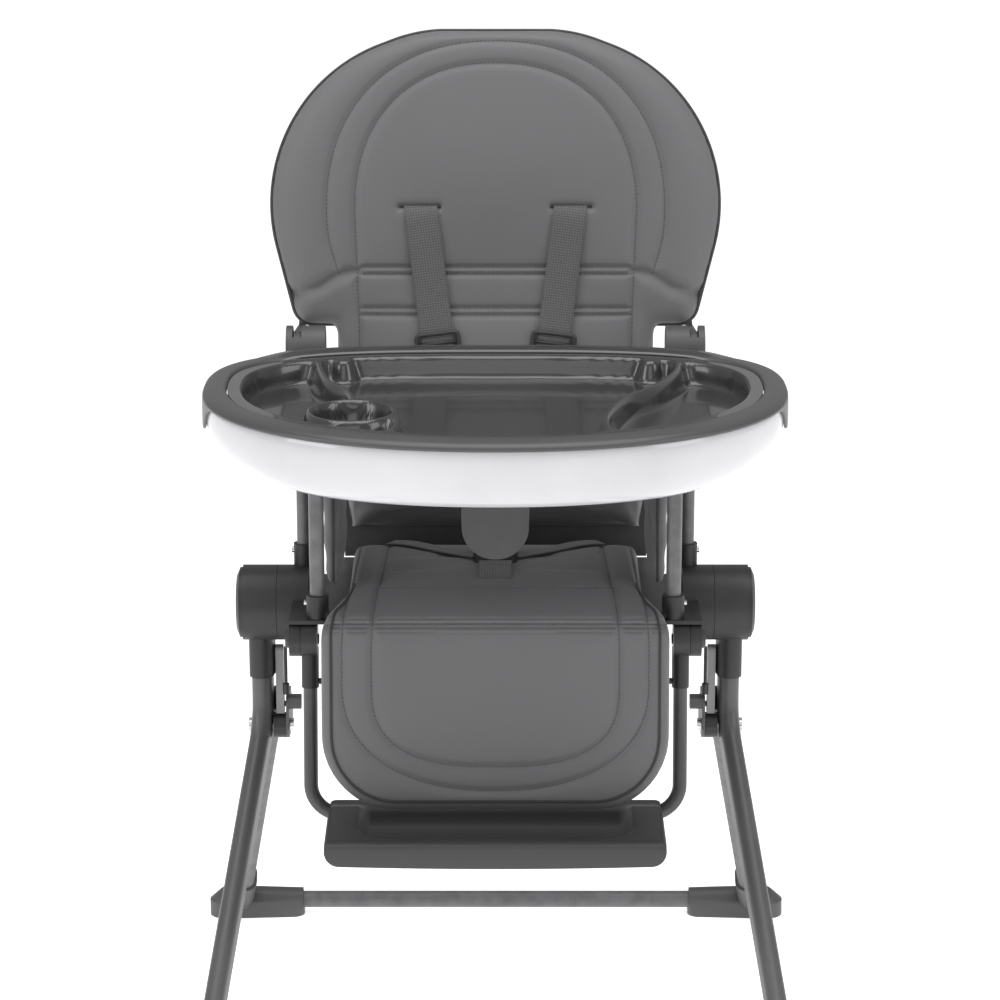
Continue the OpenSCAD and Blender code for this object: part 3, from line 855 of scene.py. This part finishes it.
def cover_half(s):
    """Half the cover's width: between the wings, then out to the calf pad, then in round its corners."""
    wide = between(0.1455, 0.1705, ease((s - SEAT_FRONT) / (SHOULDER - SEAT_FRONT)))
    left = COVER_LONG - s
    if left < CALF_ROUND:
        wide -= CALF_ROUND - math.sqrt(max(0.0, CALF_ROUND ** 2 - (CALF_ROUND - left) ** 2))
    return wide


def make_seat_cover():
    loops = []
    for p, s, (way, _, _) in zip(cover_line, cover_run, cover_frames):
        face = way.cross(X).normalized()
        near_end = min(s, COVER_LONG - s)
        puff = math.sqrt(max(0.03, 1 - max(0.0, 1 - near_end / 0.012) ** 2))
        half = COVER_THICK / 2 * puff
        wide = max(0.03, cover_half(s) - 0.0015)
        loop = []
        for k in range(64):
            a = 2 * math.pi * k / 64
            c, n = math.cos(a), math.sin(a)
            edge_x = math.copysign(wide - half * 1.1, c) * min(1.0, abs(c) * 3.2)
            loop.append(p + X * (edge_x + half * 1.1 * bent(c, 0.9)) + face * (half * bent(n, 0.8)))
        loops.append(loop)
    cover = rings("seat_cover", loops, FINISH["cover_fabric"])
    remeshed(cover, 0.0045)

    def u_line(half_top, half_low, bottom, power):
        """A seam down both sides of the seat and round the calf pad."""
        points = [(-half_top, 0.012), (-between(half_top, half_low, 0.35), SEAT_FRONT - 0.01),
                  (-half_low, CALF_TOP)]
        for i in range(41):
            a = math.pi + math.pi * i / 40
            points.append((half_low * bent(math.cos(a), 2 / power),
                           CALF_TOP + 0.040 + (bottom - 0.040) * abs(math.sin(a)) ** (2 / power)))
        return points + [(-x, s) for x, s in points[2::-1]]

    outer = Seam(u_line(0.137, 0.1485, 0.1435, 2.25), 0.0020, 0.0032)
    inner = Seam(u_line(0.109, 0.1200, 0.1200, 2.7), 0.0024, 0.0034)
    front = Seam([(-0.163, CALF_TOP - 0.014), (0.163, CALF_TOP - 0.014)], 0.0020, 0.0030)
    seat = Seam([(-0.115, SEAT_FRONT + 0.008), (0.115, SEAT_FRONT + 0.008)], 0.0022, 0.0032)
    soft = [Seam([(-0.108, SEAT_FRONT - d), (0.108, SEAT_FRONT - d)], 0.0016, 0.0055)
            for d in (0.046, 0.084)]
    seams = [outer, inner, front, seat]

    def held(p):
        x, s = cover_flat(p)
        i = nearest_run(s)
        if (p - cover_line[i]).dot(cover_face(i)) < -0.008:
            return 1.0
        return 1.0 if min(seam.away(x, s) for seam in seams) < 0.0032 else 0.0

    swollen(cover, held, 0.0055, 4.0)
    subdivided(cover)

    def near(p):
        if cover_out(p).dot(p - cover_at(p.x, cover_flat(p)[1])) < 0.002:
            return False
        x, s = cover_flat(p)
        return min(seam.away(x, s) for seam in seams) < 0.0070

    refined(cover, near)
    sewn_down(cover, seams + soft, cover_flat, cover_out)
    return cover, seams


seat_cover, seat_sewn = make_seat_cover()
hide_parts("seat_pad", "calf_pad")
seat_skin = surface_of(seat_cover)


def on_cover_skin(x, s, lift):
    p = cover_at(x, s)
    return laid_on(seat_skin, [p], cover_out(p), lift)[0]


seat_stitches = stitched("seat_stitches", [[on_cover_skin(p.x, p.y, 0.0002) for p in seam.line]
                                           for seam in seat_sewn])
inset = 0.0115
edge = []
for i in range(31):
    s = between(SEAT_FRONT - 0.012, COVER_LONG - CALF_ROUND, i / 30)
    edge.append((cover_half(s) - between(0.0075, inset, ease((s - SEAT_FRONT) / 0.04)), s))
for i in range(2, 17):
    a = math.pi / 2 * i / 16
    edge.append((cover_half(COVER_LONG - 0.075) - CALF_ROUND + (CALF_ROUND - inset) * math.cos(a),
                 COVER_LONG - CALF_ROUND + (CALF_ROUND - inset) * math.sin(a)))
edge = edge + [(-x, s) for x, s in edge[::-1]]
piping_line = even_path([on_cover_skin(x, s, 0.0006) for x, s in edge], 0.004)
seat_piping = tube("seat_piping", piping_line, 0.0015, PIPING, 10, False, Y)
for piece in (seat_cover, seat_stitches, seat_piping):
    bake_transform(piece)

# ---------- the padded side wings ----------


def make_wing(side, name):
    low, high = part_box(name)
    loops = []
    tall = 0.178
    for i in range(30):
        t = i / 29
        z = low.z - 0.001 + tall * t
        front = between(-0.098, -0.062, t) + 0.0012 * math.sin(t * 34)
        rear = high.y - 0.004
        lean = 0.1585 + 0.004 * math.sin(t * 2.2) + 0.0010 * math.sin(t * 29 + 1.0)
        end = min(t, 1 - t) * tall
        puff = math.sqrt(max(0.08, 1 - max(0.0, 1 - end / 0.010) ** 2))
        mid, half = (front + rear) / 2, (rear - front) / 2
        loop = []
        for k in range(40):
            a = 2 * math.pi * k / 40
            c, n = math.cos(a), math.sin(a)
            loop.append(Vector((side * (lean + 0.0082 * puff * bent(n, 0.75)),
                                mid + half * bent(c, 0.45), z)))
        loops.append(loop)
    wing = rings("wing_" + ("left" if side < 0 else "right"), loops, FINISH["cover_fabric"])
    remeshed(wing, 0.0045)
    swollen(wing, lambda p: 1.0 if abs(p.x) > 0.1645 or p.z < low.z + 0.006 else 0.0, 0.004, 3.5, 14)
    subdivided(wing)
    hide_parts(name)
    line = [Vector((side * 0.1585, between(-0.098, -0.062, i / 30), low.z + 0.004 + (tall - 0.012) * i / 30))
            for i in range(31)]
    places = laid_on(surface_of(wing), line, -Y, 0.0003)
    places = smooth_path(places[::2], 4)
    piping = tube(wing.name + "_piping", places, 0.0015, PIPING, 10, False, X)
    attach(wing, "seat_frame")
    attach(piping, "seat_frame")


make_wing(-1, "side_wing_left")
make_wing(1, "side_wing_right")

# ---------- harness ----------


def webbing(name, path, wide, facing, thick=0.0017):
    """A woven strap along a path, lying flat to the way it faces. Its UVs are in metres."""
    points = even_path(path, 0.003)
    frames = path_frames(points, facing)
    loops, uvs = [], []
    run = 0.0
    shape = [(-1, 0.2), (-0.96, 1), (-0.5, 1), (0, 1), (0.5, 1), (0.96, 1), (1, 0.2),
             (1, -0.2), (0.96, -1), (0.5, -1), (0, -1), (-0.5, -1), (-0.96, -1), (-1, -0.2)]
    for i, (p, (way, side, top)) in enumerate(zip(points, frames)):
        if i:
            run += (p - points[i - 1]).length
        loops.append([p + side * (a * wide / 2) + top * (b * thick / 2) for a, b in shape])
        uvs += [(a * wide / 2, run) for a, b in shape]
    return rings(name, loops, FINISH["webbing"], uvs=uvs)


def frame_buckle(name, centre, across, down, wide, tall, thick, bars=(0.0,)):
    """A strap adjuster: a rounded frame with bars across it."""
    out = across.cross(down).normalized()
    corner = 0.004
    loop = []
    for sx, sy, a0 in ((1, 1, 0), (-1, 1, 90), (-1, -1, 180), (1, -1, 270)):
        for i in range(6):
            a = math.radians(a0 + 18 * i)
            loop.append(centre + across * (sx * (wide / 2 - corner) + corner * math.cos(a))
                        + down * (sy * (tall / 2 - corner) + corner * math.sin(a)))
    parts = [tube(name + "_rim", loop, thick, FINISH["black_plastic"], 12, True, out)]
    for bar in bars:
        ends = [centre + across * (s * (wide / 2 - 0.001)) + down * (bar * tall / 2) + out * 0.0006
                for s in (-1, 0, 1)]
        parts.append(tube(name + "_bar", ends, thick * 0.85, FINISH["black_plastic"], 10, False, out))
    return joined(name, parts)


def skin_out(x, up):
    """How far the back cover's skin stands out there."""
    hit, _, _, _ = back_skin.ray_cast(on_back(x, up, 0.08), -BACK_OUT, 0.16)
    return 0.0 if hit is None else back_depth(hit)


ADJUSTER_UP = HEAD_FOOT - 0.008
strap_parts, adjusters, slot_shadow_lines = [], [], []
for s in (-1, 1):
    top_x, low_x = s * 0.0755, s * 0.0585
    high = skin_out(top_x, SLOT_UP - 0.012)
    low = max(skin_out(low_x, HEAD_FOOT + 0.04), skin_out(low_x, HEAD_FOOT + 0.01))
    path = [on_back(top_x, SLOT_UP + 0.001, high - 0.006), on_back(top_x, SLOT_UP - 0.001, high - 0.001),
            on_back(between(top_x, low_x, 0.06), SLOT_UP - 0.010, high + 0.0022)]
    for t in (0.2, 0.4, 0.6, 0.8, 1.0):
        x = between(top_x, low_x, t)
        up = between(SLOT_UP, ADJUSTER_UP, t)
        path.append(on_back(x, up, max(between(high, low, t) + 0.0028, skin_out(x, up) + 0.0022)))
    path.append(on_back(low_x + s * -0.004, ADJUSTER_UP - 0.035, low + 0.006))
    path.append(on_back(low_x + s * -0.010, ADJUSTER_UP - 0.085, low + 0.012))
    side_name = "left" if s < 0 else "right"
    strap_parts.append(webbing("strap_" + side_name, smooth_path(path, 6), 0.0335, BACK_OUT))
    lean = Vector((-s * 0.12, 0, 0))
    down = (-BACK_UP + lean).normalized()
    across = (X - down * X.dot(down)).normalized()
    adjusters.append(frame_buckle("adjuster_" + side_name, on_back(low_x, ADJUSTER_UP, low + 0.0055),
                                  across, down, 0.0425, 0.0185, 0.0022, (0.05,)))
    # Each slot's mouth gets a thin dark tube laid on the cover: painted shadow inside the slit.
    mouth = [on_back(s * between(SLOT_IN, SLOT_OUT, i / 14), SLOT_UP) for i in range(15)]
    mouth = laid_on(back_skin, mouth, BACK_OUT, 0.0001)
    slot_shadow_lines.append(tube("slot_" + side_name, mouth, 0.0011, PAINTED_SLOT_SHADOW, 8, False, BACK_OUT))
harness = joined("harness_shoulder_straps", strap_parts)
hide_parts("shoulder_straps")
locks = joined("harness_adjusters", adjusters)
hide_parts("strap_adjusters")
slot_shadow_set = joined("harness_slot_shadows", slot_shadow_lines)
for piece in (harness, locks, slot_shadow_set):
    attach(piece, "back")

buckle_low, buckle_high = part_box("buckle")
buckle_y = (buckle_low.y + buckle_high.y) / 2
seat_top = seat_high.z

def seat_strap(name, places, wide):
    """A strap over the seat, through places given as across, back, and up from the seat's top."""
    return webbing(name, smooth_path([Vector((x, y, seat_top + up)) for x, y, up in places], 6), wide, Z)


laps = [seat_strap("crotch", [(0, -0.082, -0.004), (0, -0.078, 0.002), (0, -0.060, 0.0052),
                              (0, buckle_low.y + 0.004, 0.0065)], 0.033)]
for s in (-1, 1):
    laps.append(seat_strap("lap", [(s * 0.018, buckle_y, 0.007), (s * 0.050, buckle_y + 0.022, 0.0055),
                                   (s * 0.085, buckle_y + 0.050, 0.0045),
                                   (s * 0.106, buckle_y + 0.066, 0.001)], 0.016))
lap_harness = joined("harness_lap_straps", laps)
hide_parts("seat_straps")
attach(lap_harness, "seat_frame")

# ---------- the tray ----------

TRAY_FRONT = TRAY_MID - rim_low.y
TRAY_REAR = rim_high.y - TRAY_MID
TRAY_ROUND, TRAY_SQUARE = 2.15, 3.0              # powers of the outline's front and rear curves


def tray_point(inset, turn, z):
    """A point on the tray's outline, that far inside its edge."""
    s = math.sin(turn)
    power = TRAY_ROUND if s < 0 else TRAY_SQUARE
    reach = (TRAY_FRONT if s < 0 else TRAY_REAR) - inset
    return Vector(((TRAY_HALF - inset) * bent(math.cos(turn), 2 / power),
                   TRAY_MID + reach * bent(s, 2 / power), z))


def even_turns(count, fine=2400):
    """Turns round the tray whose points on the outline are evenly spaced."""
    line = [tray_point(0, 2 * math.pi * i / fine, 0) for i in range(fine)]
    run = [0.0]
    for i in range(1, fine + 1):
        run.append(run[-1] + (line[i % fine] - line[i - 1]).length)
    turns, k = [], 0
    for j in range(count):
        goal = run[-1] * j / count
        while run[k + 1] < goal:
            k += 1
        turns.append(2 * math.pi * (k + (goal - run[k]) / (run[k + 1] - run[k])) / fine)
    return turns


def side_drop(p, deep=0.029):
    """How far the rim's side lappets hang down at a point of its edge."""
    sideways = ease((abs(p.x) - 0.250) / 0.020)
    along = ease((p.y + 0.245) / 0.050) * ease((-0.085 - p.y) / 0.035)
    return deep * sideways * along


turns = even_turns(420)
RIM = [(0.0235, -0.0105), (0.0235, -0.0030), (0.0228, -0.0012), (0.0212, -0.0002), (0.0180, 0.0),
       (0.0120, -0.0003), (0.0065, -0.0011), (0.0030, -0.0024), (0.0010, -0.0044), (0.0, -0.0058),
       (0.0, -0.0070), (0.0003, -0.0083), (0.0012, -0.0091), (0.0030, -0.0093), (0.0042, -0.0086),
       (0.0045, -0.0068)]
loops = []
for a in turns + [turns[0]]:
    drop = side_drop(tray_point(0, a, 0))
    hangs = [0.0] * 10 + [drop * 0.92] + [drop] * 4 + [0.0]
    loops.append([tray_point(inset, a, TRAY_TOP + below - extra)
                  for (inset, below), extra in zip(RIM, hangs)])
tray_rim = rings("tray_rim_trim", loops, FINISH["tray_grey"], capped=False)
welded(tray_rim.data)
subdivided(tray_rim)
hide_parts("tray_rim")
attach(tray_rim, "tray")

SKIRT = [(0.0050, -0.0072), (0.0036, -0.0120), (0.0030, -0.0260), (0.0038, -0.0360), (0.0062, -0.0460),
         (0.0108, -0.0560), (0.0170, -0.0630), (0.0240, -0.0665), (0.0275, -0.0668), (0.0285, -0.0652),
         (0.0240, -0.0620), (0.0165, -0.0560), (0.0105, -0.0470), (0.0078, -0.0360), (0.0070, -0.0250),
         (0.0078, -0.0095)]
skirt_turns = sorted(a if a > math.pi / 2 else a + 2 * math.pi for a in turns
                     if tray_point(0, a, 0).y < -0.118)
loops = []
for a in skirt_turns:
    p = tray_point(0, a, 0)
    lift = 0.009 * ease((abs(p.x) - 0.16) / 0.115) ** 1.3
    tall = 0.0668 - 0.013
    loop = []
    for inset, below in SKIRT:
        share = max(0.0, (-below - 0.013) / tall)
        loop.append(tray_point(inset, a, TRAY_TOP + below + lift * share))
    loops.append(loop)
skirt = rings("tray_skirt", loops, FINISH["tray_white"])
subdivided(skirt)
floor_low = insert_low.z - 0.0003
parts = [skirt]
plate = [[tray_point(i, a, z) for a in turns] for i, z in
         ((0.0105, floor_low - 0.0025), (0.0100, floor_low - 0.0020), (0.0100, floor_low - 0.0004),
          (0.0105, floor_low))]
parts.append(rings("tray_plate", plate, FINISH["tray_white"]))
for s in (-1, 1):
    for x in (0.161, 0.210):
        rib = []
        wide = 0.0045
        for z in (0.7135, 0.7140, floor_low - 0.0024):
            shrink = 0.0008 if z < 0.7138 else 0.0
            rib.append([Vector((s * (x + wide / 2) + i * (wide / 2 - shrink), y + j * shrink, z))
                        for i, j, y in ((-1, 1, -0.215), (1, 1, -0.215), (1, -1, -0.065), (-1, -1, -0.065))])
        parts.append(rings("tray_rib", rib, FINISH["tray_white"], smooth=False))
tray_shell = joined("tray_shell_white", parts)
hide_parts("tray_shell")
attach(tray_shell, "tray")


# The insert: a smooth sheet whose height dips into wells with sloping, rounded walls.
PLATEAU = TRAY_TOP - 0.0022
WELL_DEEP = 0.0205


def edge_distance(x, y, inset):
    """How far a point is inside the tray outline drawn in by the inset, in metres, about."""
    dx, dy = x, y - TRAY_MID
    power = TRAY_ROUND if dy < 0 else TRAY_SQUARE
    a = TRAY_HALF - inset
    b = (TRAY_FRONT if dy < 0 else TRAY_REAR) - inset
    reach = (abs(dx / a) ** power + abs(dy / b) ** power) ** (1 / power)
    if reach < 1e-6:
        return min(a, b)
    return (1 - reach) * math.hypot(dx, dy) / reach


def both(a, b, blend=0.008):
    """Inside both shapes, with the corner between them rounded."""
    h = max(0.0, blend - abs(a - b)) / blend
    return min(a, b) - h * h * blend * 0.25


RIBS = [smooth_path([Vector(p) for p in run], 6) for run in (
    [(-0.172, -0.050, 0), (-0.1690, -0.095, 0), (-0.1585, -0.150, 0), (-0.138, -0.192, 0),
     (-0.131, -0.232, 0)],
    [(0.178, -0.050, 0), (0.1735, -0.108, 0), (0.1520, -0.168, 0), (0.122, -0.213, 0), (0.1035, -0.272, 0),
     (0.1005, -0.310, 0), (0.106, -0.345, 0)],
    [(-0.092, -0.285, 0), (-0.089, -0.310, 0), (-0.095, -0.345, 0)])]
CUP = Vector((-0.131, -0.272, 0))
CUP_WIDE = 0.036


def rib_distance(x, y):
    """How far a point is from the nearest dividing rib."""
    best = 1.0
    p = Vector((x, y, 0))
    for run in RIBS:
        for a, b in zip(run, run[1:]):
            leg = b - a
            t = min(1.0, max(0.0, (p - a).dot(leg) / leg.length_squared))
            best = min(best, (p - a - leg * t).length)
    return best


def insert_height(x, y):
    rim_in = edge_distance(x, y, 0.037)
    ring = math.hypot(x - CUP.x, y - CUP.y)
    dip = 0.0
    if rim_in > -0.002:
        inside = both(rim_in, rib_distance(x, y) - 0.0024, 0.014)
        inside = both(inside, ring - CUP_WIDE - 0.0055, 0.010)
        for px in (-0.147, 0.150):
            inside = both(inside, math.hypot(x - px, y + 0.072) - 0.0075, 0.006)
        dip = WELL_DEEP * ease((inside + 0.0010) / 0.0090)
    dip = max(dip, (WELL_DEEP + 0.001) * ease((CUP_WIDE + 0.0008 - ring) / 0.0040))
    swell = 0.0016 * ease(1 - abs(ring - CUP_WIDE - 0.003) / 0.0045)
    return PLATEAU - dip + swell


def make_insert():
    step = 0.0017
    inset = 0.0240
    half = TRAY_HALF - inset
    columns = int(half * 2 / step)
    shell = bmesh.new()
    grid = {}
    low_y, high_y = TRAY_MID - TRAY_FRONT + inset, TRAY_MID + TRAY_REAR - inset
    rows = int((high_y - low_y) / step)
    for i in range(columns + 1):
        for j in range(rows + 1):
            x, y = -half + step * i, low_y + step * j
            if edge_distance(x, y, inset) > -0.0001:
                grid[i, j] = shell.verts.new((x, y, 0))
    for (i, j), v in grid.items():
        quad = [grid.get(k) for k in ((i, j), (i + 1, j), (i + 1, j + 1), (i, j + 1))]
        if None not in quad:
            shell.faces.new(quad)
    for v in {v for e in shell.edges if e.is_boundary for v in e.verts}:
        d = edge_distance(v.co.x, v.co.y, inset)
        away = Vector((v.co.x, v.co.y - TRAY_MID, 0)).normalized()
        v.co += away * max(0.0, d)
    for v in [v for v in shell.verts if not v.link_faces]:
        shell.verts.remove(v)
    for v in shell.verts:
        v.co.z = insert_height(v.co.x, v.co.y)
    made = bmesh.ops.extrude_edge_only(shell, edges=[e for e in shell.edges if e.is_boundary])
    for v in made["geom"]:
        if isinstance(v, bmesh.types.BMVert):
            v.co.z = insert_low.z
    bmesh.ops.recalc_face_normals(shell, faces=shell.faces)
    bmesh.ops.holes_fill(shell, edges=[e for e in shell.edges if e.is_boundary], sides=0)
    bmesh.ops.recalc_face_normals(shell, faces=shell.faces)
    data = bpy.data.meshes.new("tray_insert_gloss")
    shell.to_mesh(data)
    shell.free()
    shade(data)
    data.set_sharp_from_angle(angle=math.radians(75))
    return placed("tray_insert_gloss", data, FINISH["insert_gloss"])


def rear_flange():
    """The insert's own lip, which lies over the rim behind the wells."""
    profile = [(0.0250, -0.0030), (0.0240, -0.0006), (0.0200, 0.0014), (0.0120, 0.0018),
               (0.0050, 0.0014), (0.0010, -0.0004), (-0.0012, -0.0040), (-0.0012, -0.0075),
               (0.0002, -0.0080), (0.0004, -0.0050), (0.0030, -0.0014), (0.0120, 0.0001),
               (0.0220, -0.0006)]
    loops = []
    for a in turns:
        p = tray_point(0, a, 0)
        if p.y > -0.062 and abs(p.x) < 0.245:
            near_end = ease((0.246 - abs(p.x)) / 0.045)
            loops.append([tray_point(inset, a, TRAY_TOP + up - 0.0035 * (1 - near_end))
                          for inset, up in profile])
    return rings("insert_flange", loops, FINISH["insert_gloss"])


tray_insert = joined("tray_insert_gloss_set", [make_insert(), rear_flange()])
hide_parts("tray_insert")
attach(tray_insert, "insert")

# ---------- the footrest ----------

foot_low, foot_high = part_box("footrest")


def make_footrest():
    """A scooped step: a deep front lip, side walls and a dished floor that is open behind."""
    half = foot_high.x
    front, rear = foot_low.y, foot_high.y - 0.001
    top, low = foot_high.z - 0.002, foot_low.z
    across, along = 120, 60

    def height(u, v):
        """Top surface: u across from -1 to 1, v from the front edge to the back."""
        x, y = u * half, between(front, rear, v)
        side = abs(x)
        from_front = y - front
        corner = 0.030
        cx = max(0.0, side - (0.131 - corner))
        cy = max(0.0, (0.0150 + corner) - from_front)
        near = corner - math.hypot(cx, cy)
        dish = ease((near + 0.004) / 0.014)
        z = top - between(0.0140, 0.0086, ease((y + 0.180) / 0.032)) * dish
        z -= 0.0078 * (1 - dish) * ease((y - rear + 0.040) / 0.030)
        roll = max(0.0, 1 - from_front / 0.0095)
        z -= 0.0060 * (1 - math.sqrt(max(0.0, 1 - roll * roll)))
        edge = max(0.0, 1 - (half - side) / 0.007)
        z -= 0.0035 * (1 - math.sqrt(max(0.0, 1 - edge * edge)))
        return z

    points, faces = [], []
    for j in range(along + 1):
        v = (j / along) ** 1.4
        for i in range(across + 1):
            u = i / across * 2 - 1
            u = math.copysign(1 - (1 - abs(u)) ** 1.25, u)
            points.append(Vector((u * half, between(front, rear, v), height(u, v))))
    count = across + 1

    def low_at(x):
        side = abs(x)
        rise = 0.014 - math.sqrt(max(0.0, 0.014 ** 2 - max(0.0, side - (half - 0.014)) ** 2))
        return low + rise + 0.0025 * (side / half) ** 2

    under = len(points)
    points += [Vector((p.x, p.y, min(low_at(p.x), p.z - 0.0012))) for p in points]
    for j in range(along):
        for i in range(across):
            a = j * count + i
            faces.append((a, a + 1, a + 1 + count, a + count))
            b = under + a
            faces.append((b, b + count, b + 1 + count, b + 1))
    for i in range(across):
        faces.append((i, under + i, under + i + 1, i + 1))
        a = along * count + i
        faces.append((a, a + 1, under + a + 1, under + a))
    for j in range(along):
        a = j * count
        faces.append((a, a + count, under + a + count, under + a))
        b = a + across
        faces.append((b, under + b, under + b + count, b + count))
    piece = mesh_piece("footrest_step", points, faces, FINISH["footrest_plastic"])
    piece.data.set_sharp_from_angle(angle=math.radians(50))
    return piece


footrest = make_footrest()
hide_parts("footrest")
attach(footrest, "calf_rest")

# ---------- camera, floor and light ----------

scene = bpy.context.scene
AIM = Vector((0.0045, 0.0, 0.600))
TILT = math.radians(16)
FAR = 3.5
camera_data = bpy.data.cameras.new("camera")
camera_data.sensor_width = 36
camera_data.lens = 126
camera = placed("camera", camera_data)
camera.location = AIM + Vector((0, -math.cos(TILT) * FAR, math.sin(TILT) * FAR))
camera.rotation_euler = (math.pi / 2 - TILT, 0, 0)
scene.camera = camera

floor = mesh_piece("floor", [(-6, -6, 0), (6, -6, 0), (6, 6, 0), (-6, 6, 0)], [(0, 1, 2, 3)],
                   Finish("floor_white", 0.9).material)
floor_finish = floor.data.materials[0].node_tree.nodes["Principled BSDF"]
for label, value in (("Base Color", (0.93, 0.93, 0.93, 1)), ("Specular IOR Level", 0.1),
                     ("Emission Color", (1, 1, 1, 1)), ("Emission Strength", 0.7)):
    floor_finish.inputs[label].default_value = value

world = bpy.data.worlds.new("studio")
world.use_nodes = True
sky = world.node_tree
seen_sky = sky.nodes["Background"]
seen_sky.inputs["Color"].default_value = (1, 1, 1, 1)
seen_sky.inputs["Strength"].default_value = 1.05
lit_sky = add_node(sky, "ShaderNodeBackground", {"Color": (1, 1, 1, 1), "Strength": 0.42})
straight = add_node(sky, "ShaderNodeLightPath").outputs["Is Camera Ray"]
chosen = add_node(sky, "ShaderNodeMixShader", {0: straight, 1: lit_sky.outputs[0], 2: seen_sky.outputs[0]})
sky.links.new(chosen.outputs[0], sky.nodes["World Output"].inputs["Surface"])
scene.world = world


def soft_box(name, place, aim, wide, tall, power):
    data = bpy.data.lights.new(name, "AREA")
    data.shape = "RECTANGLE"
    data.size = wide
    data.size_y = tall
    data.energy = power
    lamp = placed(name, data)
    lamp.location = place
    lamp.rotation_mode = "QUATERNION"
    lamp.rotation_quaternion = (Vector(aim) - Vector(place)).to_track_quat("-Z", "Y")


soft_box("overhead", (0, -0.5, 2.8), (0, 0, 0.6), 2.6, 2.0, 46)
soft_box("left_box", (-2.4, -1.6, 1.6), (0, 0, 0.6), 1.2, 2.0, 24)
soft_box("right_box", (2.4, -1.6, 1.6), (0, 0, 0.6), 1.2, 2.0, 19)
soft_box("front_fill", (0, -3.4, 2.2), (0, 0, 0.5), 2.0, 1.4, 9)
scene.view_settings.view_transform = "Standard"
